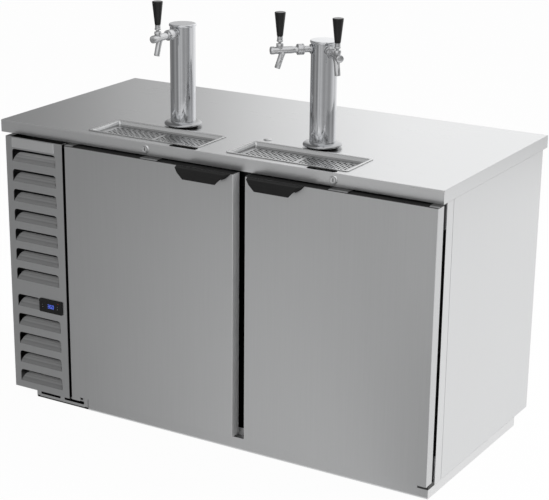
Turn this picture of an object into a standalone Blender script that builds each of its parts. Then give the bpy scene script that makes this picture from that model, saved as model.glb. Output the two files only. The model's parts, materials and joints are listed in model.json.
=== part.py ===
"""Draft beer cooler with two doors, two faucet towers and a louvered machine bay, in metres, +Z up.

X runs along the worktop, centred on it. -Y is the side with the doors and the faucets. The floor is Z = 0.
Each piece is its own object, and every moving piece hangs from an empty on its joint's axis.
"""

import math

import bmesh
import bpy
from mathutils import Matrix, Vector

# Worktop: a folded sheet whose size drives the cabinet below it
TOP_WIDTH = 1.495
TOP_DEPTH = 0.713
TOP_HEIGHT = 0.889
LIP_HEIGHT = 0.038
TOP_SHEET = 0.002
TOP_LEFT_OVERHANG = 0.042
TOP_REAR_OVERHANG = 0.033

# Fits
GAP = 0.0003
RUNNING_GAP = 0.0004
OVERRUN = 0.010
SHEET = 0.002

# Cabinet
WALL = 0.050
SIDE_PAN_DEPTH = 0.019
BASE_HEIGHT = 0.028
BASE_FRONT_STAND_OUT = 0.019
BASE_REAR_INSET = 0.127
BASE_LEFT_START = 0.320
BASE_LEFT_SETBACK = 0.060
BASE_UPSTAND = 0.010
CARCASS_SETBACK = 0.022
DECK_THICK = 0.086
SEAM_SETBACK = 0.041
SEAM_WIDTH = 0.0015
PARTITION_LEFT = 0.2575
SILL_TOP = 0.052
POST_WIDTH = 0.090
POST_DEPTH = 0.040
SCREW_RECESS_RADIUS = 0.0035
SCREW_RECESS_DEPTH = 0.003
SCREW_RECESS_HEIGHT = 0.043
SCREW_RECESS_INSET = 0.027

# Louvered front panel and what is on it
LOUVER_PANEL_WIDTH = 0.2148
LOUVER_PANEL_RETURN = 0.040
LOUVER_WIDTH = 0.165
LOUVER_HEIGHT_SHARE = 0.622
LOUVER_LEFT_INSET = 0.0231
LOUVER_TOP_INSET = 0.037
LOUVER_PITCH_SHARE = 0.0773
LOUVERS_ABOVE = 7
LOUVERS_BELOW = 5
LOUVER_BREAK_SHARE = 0.1071
LOUVER_CORNER = 0.009
LOUVER_DEPTH = 0.021
LOUVER_SLIT = 0.013
VANE_TAPER = 0.011
VANE_CORNER = 0.008
PLATE_WIDTH = 0.160
PLATE_HEIGHT = 0.030
PLATE_THICK = 0.0015
PLATE_LEFT_INSET = 0.0241
PLATE_TOP_INSET = 0.002
CONTROLLER_WIDTH = 0.088
CONTROLLER_HEIGHT = 0.043
CONTROLLER_PROUD = 0.004
CONTROLLER_CORNER = 0.003
CONTROLLER_HEIGHT_SHARE = 0.3611
CONTROLLER_RIGHT_INSET = 0.016
HOUSING_WIDTH = 0.071
HOUSING_HEIGHT = 0.029
HOUSING_DEPTH = 0.045
WINDOW_BORDER = 0.008
WINDOW_DEPTH = 0.0008

# Slotted bracket under the louvered panel
BRACKET_LEFT = 0.117
BRACKET_BOTTOM = 0.001
BRACKET_CORNER = 0.006
BRACKET_SLOT_LENGTH = 0.074
BRACKET_SLOT_HEIGHT = 0.005
BRACKET_SLOT_PITCH = 0.093
BRACKET_SLOT_INSET = 0.018
BRACKET_SLOT_CENTER = 0.0195

# Doors
DOOR_STAND_OUT = 0.0325
DOOR_THICK = 0.0365
DOOR_BOTTOM = 0.042
DOOR_GAP = 0.040
DOOR_PANEL_GAP = 0.009
DOOR_TOP_CLEARANCE = 0.003
DOOR_SKIN = 0.0015
DOOR_EDGE = 0.0015
CAP_HEIGHT = 0.014
HINGE_INSET = 0.012
HINGE_SETBACK = 0.0165
DOOR_SWING = math.radians(100)
GASKET_WIDTH = 0.014
LINER_RISE = 0.006
LINER_INSET = 0.034

# Hooded door handle
HANDLE_CENTER_INSET = 0.0995
HANDLE_LOW_DEPTH = 0.027
HANDLE_FOLD_DEPTH = 0.029
HANDLE_TOP_DEPTH = 0.023
HANDLE_WALL = 0.003
HANDLE_TOP_DROP = 0.0006
HANDLE_FOLD_DROP = 0.013
HANDLE_LOW_DROP = 0.032
HANDLE_FOOT_DROP = 0.025
HANDLE_TOP_WIDTH = 0.166
HANDLE_FOLD_WIDTH = 0.144
HANDLE_LOW_WIDTH = 0.1094
HANDLE_FOOT_WIDTH = 0.136
HANDLE_ROOT_WIDTH = 0.185

# Hinges
HINGE_PLATE_WIDTH = 0.033
HINGE_PLATE_TAPER = 0.006
HINGE_PLATE_THICK = 0.0022
HINGE_PIN_RADIUS = 0.004
HINGE_PIN_REACH = 0.015
HINGE_LEG = 0.030
HINGE_FRONT_INSET = 0.002

# Locks
LOCK_DROP = 0.0195
LEFT_LOCK_SHARE = 0.4595
RIGHT_LOCK_SHARE = 0.4427
BEZEL_RADIUS = 0.0125
BEZEL_THICK = 0.0025
BARREL_RADIUS = 0.011
BARREL_DEPTH = 0.012
PLUG_RADIUS = 0.0085
PLUG_PROUD = 0.0006
KEYWAY_WIDTH = 0.0024
KEYWAY_HEIGHT = 0.011
KEYWAY_DEPTH = 0.004
CAM_LENGTH = 0.0235
CAM_WIDTH = 0.010
CAM_THICK = 0.002
LOCK_TURN = math.radians(90)
STRIKE_THICK = 0.0018
STRIKE_WIDTH = 0.058
STRIKE_START = 0.001
STRIKE_REACH = 0.0185
STRIKE_MARGIN = 0.012
STRIKE_SLOT_SIDE = 0.0045
STRIKE_SLOT_WIDTH = 0.005

# Drip trays and their grates
TRAY_WIDTH = 0.396
TRAY_DEPTH = 0.160
TRAY_FRONT = 0.028
TRAY_SHEET = 0.002
TRAY_FLANGE = 0.010
TRAY_CORNER = 0.010
TRAY_SLOPE = 0.005
TRAY_STEP = 0.0155
TRAY_LEDGE = 0.006
TRAY_BOTTOM = 0.027
TRAY_FIT = 0.0015
SPIGOT_RADIUS = 0.011
SPIGOT_BORE = 0.008
SPIGOT_LENGTH = 0.040
GRATE_SHEET = 0.0015
GRATE_BORDER = 0.012
GRATE_BAR = 0.018
GRATE_COLUMNS = 9
GRATE_ROWS = 3
GRATE_SLOT_WIDTH = 0.005
GRATE_LIFT = 0.050
LIFT_SLOT_LENGTH = 0.088
LIFT_SLOT_WIDTH = 0.012
LIFT_SLOT_CENTER = 0.0145
LEFT_TRAY_SHARE = 0.3385
RIGHT_TRAY_SHARE = 0.6642
LEFT_LIFT_SLOT_SHARE = 0.4431
RIGHT_LIFT_SLOT_SHARE = 0.7482

# Faucet towers
LEFT_TOWER_SHARE = 0.3465
RIGHT_TOWER_SHARE = 0.6682
TOWER_SETBACK = 0.232
TOWER_RADIUS = 0.0381
TOWER_WALL = 0.002
TOWER_TOP = 0.3035
TOWER_CAP_RADIUS = 0.0405
TOWER_CAP_HEIGHT = 0.0075
FLANGE_RADIUS = 0.057
FLANGE_EDGE = 0.0025
FLANGE_RISE = 0.008
TOWER_GASKET_RADIUS = 0.042
TOWER_GASKET_THICK = 0.006
DUCT_RADIUS = 0.030
FAUCET_SPREAD = math.radians(45)

# Faucets, measured out from the tower's axis and up from the worktop
FAUCET_AXIS = 0.287
SHANK_RADIUS = 0.0094
SHANK_START = 0.014
SHANK_WASHER_RADIUS = 0.014
SHANK_WASHER_THICK = 0.003
SHANK_NUT_START = 0.025
SHANK_NUT_THICK = 0.006
SHANK_NUT_RADIUS = 0.0155
COLLAR_START = 0.060
COLLAR_END = 0.080
COLLAR_RADIUS = 0.01575
COLLAR_CHAMFER = 0.002
FAUCET_NECK_RADIUS = 0.0095
FAUCET_NECK_LENGTH = 0.006
FAUCET_BODY_RADIUS = 0.0102
FAUCET_CAP_RADIUS = 0.01135
FAUCET_CAP_LENGTH = 0.012
FAUCET_END = 0.158
FAUCET_NOSE = 0.003
SPOUT_ROOT = 0.120
SPOUT_TIP = 0.137
SPOUT_TIP_HEIGHT = 0.236
SPOUT_RADIUS = 0.00775
SPOUT_ROOT_RADIUS = 0.0092
SPOUT_BORE = 0.0058
SPOUT_BORE_DEPTH = 0.012
LEVER_REACH = 0.130
BONNET_RADIUS = 0.01025
BONNET_TOP = 0.307
BALL_RADIUS = 0.0085
BALL_DROP = 0.007
STEM_RADIUS = 0.0034
FERRULE_RADIUS = 0.00775
FERRULE_START = 0.313
FERRULE_END = 0.327
KNOB_ROOT_RADIUS = 0.00875
KNOB_TIP_RADIUS = 0.01585
KNOB_END = 0.395
KNOB_ROUND = 0.002
TAP_PULL = math.radians(32)

# Hole plug in the worktop
PLUG_CENTER_SHARE = 0.5505
PLUG_SETBACK = 0.220
PLUG_HEAD_RADIUS = 0.0125
PLUG_HEAD_HEIGHT = 0.003
PLUG_STEM_RADIUS = 0.009
PLUG_STEM_LENGTH = 0.012

# Refrigeration in the machine bay
COIL_SETBACK = 0.055
COIL_DEPTH = 0.044
COIL_HEIGHT = 0.260
COIL_SIDE_MARGIN = 0.020
COIL_FINS = 15
COIL_FIN_SHARE = 0.35
COIL_GROOVE = 0.030
COIL_FOOT = 0.008
COIL_FOOT_WIDTH = 0.012
SHROUD_THICK = 0.003
FAN_RADIUS = 0.074
FAN_TIP_GAP = 0.004
FAN_HUB_RADIUS = 0.020
FAN_HUB_LENGTH = 0.022
FAN_BLADES = 5
FAN_BLADE_THICK = 0.002
FAN_BLADE_WIDTH = 0.044
FAN_BLADE_TWIST = math.radians(28)
FAN_NOSE_RADIUS = 0.016
FAN_ROOT_RADIUS = 0.016
FAN_BORE_DEPTH = 0.014
SHAFT_REACH = 0.012
SHROUD_COLLAR = 0.022
SHROUD_COLLAR_WALL = 0.003
MOTOR_RADIUS = 0.024
MOTOR_LENGTH = 0.034
MOTOR_ARM = 0.010
MOTOR_ARM_THICK = 0.004
SHAFT_RADIUS = 0.003
COMPRESSOR_SETBACK = 0.360
COMPRESSOR_RADIUS = 0.072
COMPRESSOR_SEAM = 0.076
COMPRESSOR_HEIGHT = 0.165
COMPRESSOR_SEAM_HEIGHT = 0.085
COMPRESSOR_LIFT = 0.018
COMPRESSOR_FOOT_WIDTH = 0.156
COMPRESSOR_FOOT_DEPTH = 0.190
COMPRESSOR_FOOT_THICK = 0.004
GROMMET_RADIUS = 0.012
GROMMET_POST_RADIUS = 0.0095
TERMINAL_WIDTH = 0.060
TERMINAL_HEIGHT = 0.045
TERMINAL_DEPTH = 0.048
TERMINAL_LIFT = 0.112
TUBE_RADIUS = 0.005
TUBE_RISE = 0.030
GRILLE_SLOTS = 16
GRILLE_SLOT_HEIGHT = 0.010
GRILLE_SLOT_MARGIN = 0.022
GRILLE_SPAN_SHARE = 0.70
GLAND_HEIGHT = 0.070
GLAND_RADIUS = 0.011
GLAND_BODY_RADIUS = 0.008
GLAND_LENGTH = 0.012
GLAND_BORE = 0.0045

# Evaporator in the cold compartment, on the partition
EVAPORATOR_WIDTH = 0.085
EVAPORATOR_REAR_CLEARANCE = 0.108
EVAPORATOR_HEIGHT = 0.290
EVAPORATOR_DROP = 0.025
EVAPORATOR_SETBACK = 0.160
EVAPORATOR_WALL = 0.003
EVAPORATOR_MARGIN = 0.012
EVAPORATOR_MOUTH_MARGIN = 0.018
EVAPORATOR_FAN_LENGTH = 0.021
EVAPORATOR_FAN_RADIUS = 0.062
EVAPORATOR_FINS = 12
EVAPORATOR_FAN_DEPTH = 0.030
INTAKE_HEIGHT = 0.050

# Facets round a full circle
STEPS_LARGE = 24
STEPS_MEDIUM = 16
STEPS_SMALL = 10
CORNER_STEPS = 3

# Levels and places worked out from the sizes above
FRONT_REACH = DOOR_STAND_OUT + HANDLE_FOLD_DEPTH
LIP_Y = -(TOP_DEPTH - FRONT_REACH) / 2
TOP_LEFT = -TOP_WIDTH / 2
TOP_RIGHT = TOP_WIDTH / 2
TOP_UNDER = TOP_HEIGHT - TOP_SHEET
LIP_BOTTOM = TOP_HEIGHT - LIP_HEIGHT
BODY_LEFT = TOP_LEFT + TOP_LEFT_OVERHANG
CARCASS_FRONT = LIP_Y + CARCASS_SETBACK
CARCASS_REAR = LIP_Y + TOP_DEPTH - TOP_REAR_OVERHANG
WALL_TOP = LIP_BOTTOM - GAP
WALL_BOTTOM = BASE_HEIGHT + GAP
DECK_TOP = TOP_UNDER - GAP
DECK_BOTTOM = DECK_TOP - DECK_THICK
RIGHT_WALL_IN = TOP_RIGHT - WALL
BACK_WALL_IN = CARCASS_REAR - WALL
PARTITION_X = TOP_LEFT + PARTITION_LEFT
PARTITION_IN = PARTITION_X + WALL
FLOOR_TOP = BASE_HEIGHT + SILL_TOP
DOOR_FRONT = LIP_Y - DOOR_STAND_OUT
DOOR_BACK = DOOR_FRONT + DOOR_THICK
DOOR_TOP = LIP_BOTTOM - DOOR_TOP_CLEARANCE
HINGE_Y = DOOR_FRONT + HINGE_SETBACK
PANEL_RIGHT = BODY_LEFT + LOUVER_PANEL_WIDTH
DOOR_WIDTH = (TOP_RIGHT - PANEL_RIGHT - DOOR_PANEL_GAP - DOOR_GAP) / 2
RIGHT_DOOR_X = TOP_RIGHT - DOOR_WIDTH
LEFT_DOOR_X = RIGHT_DOOR_X - DOOR_GAP - DOOR_WIDTH
DOORS = {"left": LEFT_DOOR_X, "right": RIGHT_DOOR_X}
DOOR_SIDE = {"left": -1, "right": 1}
LOCKS = {
    "left": LEFT_DOOR_X + DOOR_WIDTH * LEFT_LOCK_SHARE,
    "right": RIGHT_DOOR_X + DOOR_WIDTH * RIGHT_LOCK_SHARE,
}
LOCK_Z = TOP_HEIGHT - LOCK_DROP
TRAYS = {
    "left": TOP_LEFT + TOP_WIDTH * LEFT_TRAY_SHARE,
    "right": TOP_LEFT + TOP_WIDTH * RIGHT_TRAY_SHARE,
}
LIFT_SLOTS = (
    TOP_LEFT + TOP_WIDTH * LEFT_LIFT_SLOT_SHARE,
    TOP_LEFT + TOP_WIDTH * RIGHT_LIFT_SLOT_SHARE,
)
TRAY_FRONT_Y = LIP_Y + TRAY_FRONT
TRAY_BACK_Y = TRAY_FRONT_Y + TRAY_DEPTH
TOWER_Y = LIP_Y + TOWER_SETBACK
TOWERS = {
    "left": TOP_LEFT + TOP_WIDTH * LEFT_TOWER_SHARE,
    "right": TOP_LEFT + TOP_WIDTH * RIGHT_TOWER_SHARE,
}
FAUCETS = (("left", "left", 0.0), ("center", "right", -FAUCET_SPREAD), ("right", "right", FAUCET_SPREAD))
SHANK_END = COLLAR_START - GAP
PIVOT_Z = BONNET_TOP - BALL_DROP
BAY_LEFT = BODY_LEFT + SIDE_PAN_DEPTH
BAY_RIGHT = PARTITION_X
BAY_MIDDLE = (BAY_LEFT + BAY_RIGHT) / 2
PANEL_TOP = LIP_BOTTOM - TOP_SHEET / 2
LOUVER_PANEL_BOTTOM = BASE_HEIGHT + GAP
PANEL_HEIGHT = PANEL_TOP - LOUVER_PANEL_BOTTOM
LOUVER_FIRST_TOP = PANEL_TOP - LOUVER_TOP_INSET
LOUVER_PITCH = PANEL_HEIGHT * LOUVER_PITCH_SHARE
LOUVER_HEIGHT = LOUVER_PITCH * LOUVER_HEIGHT_SHARE
LOUVER_BREAK = PANEL_HEIGHT * LOUVER_BREAK_SHARE
CONTROLLER_CENTER_HEIGHT = LOUVER_PANEL_BOTTOM + PANEL_HEIGHT * CONTROLLER_HEIGHT_SHARE
EVAPORATOR_FRONT = CARCASS_FRONT + EVAPORATOR_SETBACK
EVAPORATOR_DEPTH = BACK_WALL_IN - EVAPORATOR_REAR_CLEARANCE - EVAPORATOR_FRONT

# Finishes: base colour, roughness, metallic
STEEL = ((0.55, 0.56, 0.57, 1), 0.35, 1.0)
CHROME = ((0.78, 0.79, 0.81, 1), 0.08, 1.0)
BLACK_PLASTIC = ((0.02, 0.02, 0.022, 1), 0.45, 0.0)
BLACK_RUBBER = ((0.015, 0.015, 0.015, 1), 0.7, 0.0)
ALUMINIUM = ((0.72, 0.73, 0.74, 1), 0.4, 1.0)
PAINTED_STEEL = ((0.03, 0.03, 0.032, 1), 0.5, 0.0)
LINER = ((0.62, 0.63, 0.64, 1), 0.45, 0.3)


def mesh_from(points, faces):
    """A mesh of these points and faces, with its faces turned to look out."""
    work = bmesh.new()
    corners = [work.verts.new(point) for point in points]
    for face in faces:
        work.faces.new([corners[index] for index in face])
    bmesh.ops.recalc_face_normals(work, faces=work.faces)
    mesh = bpy.data.meshes.new("shape")
    work.to_mesh(mesh)
    work.free()
    return mesh


def moved(mesh, matrix):
    """The mesh with its points carried by a matrix."""
    mesh.transform(matrix)
    return mesh


def box(x, y, z):
    """A block between two places along each axis."""
    points = [(x[i], y[j], z[k]) for i in (0, 1) for j in (0, 1) for k in (0, 1)]
    faces = [(0, 1, 3, 2), (4, 6, 7, 5), (0, 4, 5, 1), (2, 3, 7, 6), (0, 2, 6, 4), (1, 5, 7, 3)]
    return mesh_from(points, faces)


def loft(rings):
    """A closed solid through rings of equally many points, its two ends capped."""
    count = len(rings[0])
    points = [point for ring in rings for point in ring]
    faces = [tuple(range(count)), tuple(range(len(points) - count, len(points)))]
    for ring in range(len(rings) - 1):
        low, high = ring * count, (ring + 1) * count
        for i in range(count):
            j = (i + 1) % count
            faces.append((low + i, low + j, high + j, high + i))
    return mesh_from(points, faces)


def prism(outline, axis, low, high):
    """An outline of two coordinates carried straight along X, Y or Z."""
    place = {
        "x": lambda u, v, w: (w, u, v),
        "y": lambda u, v, w: (u, w, v),
        "z": lambda u, v, w: (u, v, w),
    }[axis]
    return loft([[place(u, v, w) for u, v in outline] for w in (low, high)])


def circle(radius, steps, center=(0.0, 0.0)):
    turn = 2 * math.pi / steps
    return [
        (center[0] + radius * math.cos(i * turn), center[1] + radius * math.sin(i * turn))
        for i in range(steps)
    ]


def rounded(x, y, radius, steps=CORNER_STEPS):
    """A rectangle's outline whose four corners are arcs."""
    corners = (
        (x[1] - radius, y[0] + radius, -math.pi / 2),
        (x[1] - radius, y[1] - radius, 0.0),
        (x[0] + radius, y[1] - radius, math.pi / 2),
        (x[0] + radius, y[0] + radius, math.pi),
    )
    outline = []
    for cx, cy, start in corners:
        for i in range(steps + 1):
            angle = start + i * math.pi / 2 / steps
            outline.append((cx + radius * math.cos(angle), cy + radius * math.sin(angle)))
    return outline


def rod(center, axis, low, high, radius, steps=STEPS_MEDIUM):
    """A round bar along X, Y or Z, its centre given in the plane across it."""
    return prism(circle(radius, steps, center), axis, low, high)


def turned(profile, steps=STEPS_MEDIUM):
    """A profile of (radius, height) pairs, low to high, turned about Z, with a point at a zero radius."""
    points, rings = [], []
    for radius, height in profile:
        if radius == 0:
            rings.append([len(points)])
            points.append((0.0, 0.0, height))
            continue
        rings.append(list(range(len(points), len(points) + steps)))
        points += [(x, y, height) for x, y in circle(radius, steps)]
    faces = []
    for low, high in zip(rings, rings[1:]):
        for i in range(steps):
            j = (i + 1) % steps
            corners = [low[i % len(low)], low[j % len(low)], high[j % len(high)], high[i % len(high)]]
            faces.append(tuple(dict.fromkeys(corners)))
    for ring in (rings[0], rings[-1]):
        if len(ring) > 1:
            faces.append(tuple(ring))
    return mesh_from(points, faces)


def combined(meshes):
    """Separate closed shapes held in one mesh, to cut or to join in one go."""
    work = bmesh.new()
    for mesh in meshes:
        work.from_mesh(mesh)
    result = bpy.data.meshes.new("shapes")
    work.to_mesh(result)
    work.free()
    return result


def shaped(mesh, *steps):
    """The mesh after exact Booleans, each step a pair of an operation and the mesh it uses."""
    scene = bpy.context.scene.collection
    body = bpy.data.objects.new("body", mesh)
    scene.objects.link(body)
    tools = []
    for operation, other in steps:
        tool = bpy.data.objects.new("tool", other)
        scene.objects.link(tool)
        tools.append(tool)
        modifier = body.modifiers.new(operation, "BOOLEAN")
        modifier.operation = operation
        modifier.solver = "EXACT"
        modifier.object = tool
    graph = bpy.context.evaluated_depsgraph_get()
    result = bpy.data.meshes.new_from_object(body.evaluated_get(graph))
    for tool in tools:
        bpy.data.objects.remove(tool)
    bpy.data.objects.remove(body)
    return result


def cut(mesh, *others):
    return shaped(mesh, *[("DIFFERENCE", other) for other in others])


def joined(mesh, *others):
    return shaped(mesh, *[("UNION", other) for other in others])


def beveled(mesh, width, chosen, segments=1):
    """The mesh with the edges that a test picks cut off at this width."""
    work = bmesh.new()
    work.from_mesh(mesh)
    edges = [edge for edge in work.edges if chosen(edge)]
    bmesh.ops.bevel(work, geom=edges, offset=width, segments=segments, affect="EDGES", profile=0.5)
    work.to_mesh(mesh)
    work.free()
    return mesh


def along(edge, axis):
    """Whether an edge runs along an axis, given by its index."""
    line = edge.verts[1].co - edge.verts[0].co
    return abs(line[axis]) > 0.99 * line.length


def piece(name, mesh, finish, parent=None, smooth=math.radians(30)):
    """An object with its own material, carried by a joint's empty where it moves."""
    obj = bpy.data.objects.new(name, mesh)
    bpy.context.scene.collection.objects.link(obj)
    mesh.name = name
    mesh.shade_smooth()
    mesh.set_sharp_from_angle(angle=smooth)
    material = bpy.data.materials.new(name)
    material.use_nodes = True
    shader = material.node_tree.nodes["Principled BSDF"]
    shader.inputs["Base Color"].default_value = finish[0]
    shader.inputs["Roughness"].default_value = finish[1]
    shader.inputs["Metallic"].default_value = finish[2]
    mesh.materials.clear()
    mesh.materials.append(material)
    if parent:
        obj.parent = parent
        obj.matrix_parent_inverse = Matrix.Translation(parent.location).inverted()
    return obj


def joint_empty(name, location):
    """An empty on a joint's axis, for the pieces that move with it."""
    empty = bpy.data.objects.new(name, None)
    bpy.context.scene.collection.objects.link(empty)
    empty.location = location
    return empty


def span(center, width):
    return (center - width / 2, center + width / 2)


def beside(edge, width):
    return (edge, edge + width)


def make_base():
    """The closed plinth, set back behind the louvered panel, with a low upstand in front of the doors."""
    left = TOP_LEFT + BASE_LEFT_START
    front = LIP_Y - BASE_FRONT_STAND_OUT
    rear = CARCASS_REAR + TOP_REAR_OVERHANG - BASE_REAR_INSET
    outline = [
        (left, front),
        (TOP_RIGHT, front),
        (TOP_RIGHT, rear),
        (BODY_LEFT, rear),
        (BODY_LEFT, LIP_Y + BASE_LEFT_SETBACK),
        (left, LIP_Y + BASE_LEFT_SETBACK),
    ]
    frame = prism(outline, "z", 0.0, BASE_HEIGHT)
    upstand = box(
        (left, TOP_RIGHT - HINGE_PLATE_WIDTH - GAP),
        (front, front + SHEET),
        (BASE_HEIGHT - SHEET, BASE_HEIGHT + BASE_UPSTAND),
    )
    piece("base_frame", joined(frame, upstand), STEEL)


def make_bracket():
    """A folded plate with two slots, from under the louvered panel to the end of the plinth."""
    left = TOP_LEFT + BRACKET_LEFT
    right = TOP_LEFT + BASE_LEFT_START - GAP
    front = LIP_Y - BASE_FRONT_STAND_OUT
    arc = [
        (
            left + BRACKET_CORNER * (1 - math.sin(i * math.pi / 2 / CORNER_STEPS)),
            BRACKET_BOTTOM + BRACKET_CORNER * (1 - math.cos(i * math.pi / 2 / CORNER_STEPS)),
        )
        for i in range(CORNER_STEPS, -1, -1)
    ]
    face = prism(
        [(left, BASE_HEIGHT)] + arc + [(right, BRACKET_BOTTOM), (right, BASE_HEIGHT)],
        "y",
        front,
        front + SHEET,
    )
    shelf = box((left, right), (front, LIP_Y + BASE_LEFT_SETBACK - GAP), (BASE_HEIGHT - SHEET, BASE_HEIGHT))
    upstand = box(
        (LEFT_DOOR_X + HINGE_PLATE_WIDTH + GAP, right),
        (front, front + SHEET),
        (BASE_HEIGHT - SHEET, BASE_HEIGHT + BASE_UPSTAND),
    )
    slots = []
    for i in range(2):
        start = left + BRACKET_SLOT_INSET + i * BRACKET_SLOT_PITCH
        outline = rounded(
            beside(start, BRACKET_SLOT_LENGTH),
            span(BRACKET_SLOT_CENTER, BRACKET_SLOT_HEIGHT),
            BRACKET_SLOT_HEIGHT / 2 - GAP,
        )
        slots.append(prism(outline, "y", front - OVERRUN, front + SHEET + OVERRUN))
    bracket = shaped(face, ("UNION", shelf), ("UNION", upstand), ("DIFFERENCE", combined(slots)))
    piece("lower_bracket", bracket, STEEL)


def make_walls():
    """The insulated walls round the cold compartment, and the thin left side of the machine bay."""
    height = (WALL_BOTTOM, DECK_BOTTOM - GAP)
    depth = (CARCASS_FRONT, BACK_WALL_IN - GAP)
    middle = RIGHT_DOOR_X - DOOR_GAP / 2
    post_x = span(middle, POST_WIDTH)
    post_y = beside(CARCASS_FRONT, POST_DEPTH)

    floor = box((PARTITION_IN + GAP, RIGHT_WALL_IN - GAP), depth, (WALL_BOTTOM, FLOOR_TOP))
    notch = box(
        (post_x[0] - GAP, post_x[1] + GAP),
        (post_y[0] - OVERRUN, post_y[1] + GAP),
        (SILL_TOP - GAP, FLOOR_TOP + OVERRUN),
    )
    recess = rod(
        (middle - SCREW_RECESS_INSET, SCREW_RECESS_HEIGHT),
        "y",
        CARCASS_FRONT - OVERRUN,
        CARCASS_FRONT + SCREW_RECESS_DEPTH,
        SCREW_RECESS_RADIUS,
        STEPS_SMALL,
    )
    piece("floor_panel", cut(floor, notch, recess), LINER)
    piece("center_post", box(post_x, post_y, (SILL_TOP, height[1])), BLACK_PLASTIC)

    piece("partition_panel", box((PARTITION_X, PARTITION_IN), depth, height), LINER)
    back = box((PARTITION_X, RIGHT_WALL_IN - GAP), (BACK_WALL_IN, CARCASS_REAR), height)
    piece("back_panel", back, LINER)

    side = box((RIGHT_WALL_IN, TOP_RIGHT), (CARCASS_FRONT, CARCASS_REAR), (WALL_BOTTOM, WALL_TOP))
    seam = box(
        (TOP_RIGHT - SEAM_WIDTH, TOP_RIGHT + OVERRUN),
        beside(CARCASS_FRONT + SEAM_SETBACK, SEAM_WIDTH),
        (WALL_BOTTOM - OVERRUN, WALL_TOP + OVERRUN),
    )
    piece("right_side_panel", cut(side, seam), STEEL)

    front = DOOR_FRONT + SHEET + GAP
    pan = box((BODY_LEFT, BAY_LEFT), (front, CARCASS_REAR), (WALL_BOTTOM, WALL_TOP))
    hollow = box(
        (BODY_LEFT + SHEET, BAY_LEFT + OVERRUN),
        (front + SHEET, CARCASS_REAR - SHEET),
        (WALL_BOTTOM + SHEET, WALL_TOP - SHEET),
    )
    piece("left_side_panel", cut(pan, hollow), STEEL)


def make_deck():
    """The insulated top of the cabinet, with pockets for the trays and ducts for the towers."""
    outline = [
        (BAY_LEFT + GAP, DECK_BOTTOM),
        (RIGHT_WALL_IN - GAP, DECK_BOTTOM),
        (RIGHT_WALL_IN - GAP, LIP_BOTTOM),
        (TOP_RIGHT - TOP_SHEET - GAP, LIP_BOTTOM),
        (TOP_RIGHT - TOP_SHEET - GAP, DECK_TOP),
        (BODY_LEFT, DECK_TOP),
        (BODY_LEFT, LIP_BOTTOM),
        (BAY_LEFT + GAP, LIP_BOTTOM),
    ]
    deck = prism(outline, "y", CARCASS_FRONT, CARCASS_REAR)
    through = (DECK_BOTTOM - OVERRUN, DECK_TOP + OVERRUN)
    cuts = []
    inset = TRAY_FLANGE - TRAY_SHEET - TRAY_FIT
    for x in TRAYS.values():
        cuts.append(
            box(
                span(x, TRAY_WIDTH - 2 * inset),
                (TRAY_FRONT_Y + inset, TRAY_BACK_Y - inset),
                (TOP_HEIGHT - TRAY_BOTTOM - TRAY_FIT, DECK_TOP + OVERRUN),
            )
        )
        drain = (x, (TRAY_FRONT_Y + TRAY_BACK_Y) / 2)
        well_floor = TOP_HEIGHT - TRAY_BOTTOM
        cuts.append(rod(drain, "z", DECK_BOTTOM - OVERRUN, well_floor, SPIGOT_RADIUS + TRAY_FIT))
    for x in TOWERS.values():
        cuts.append(rod((x, TOWER_Y), "z", *through, DUCT_RADIUS))
    cuts.append(
        rod(
            (TOP_LEFT + TOP_WIDTH * PLUG_CENTER_SHARE, LIP_Y + PLUG_SETBACK),
            "z",
            DECK_TOP - PLUG_STEM_LENGTH,
            through[1],
            PLUG_STEM_RADIUS + TRAY_FIT,
            STEPS_SMALL,
        )
    )
    piece("ceiling_panel", cut(deck, *cuts), LINER)


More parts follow.
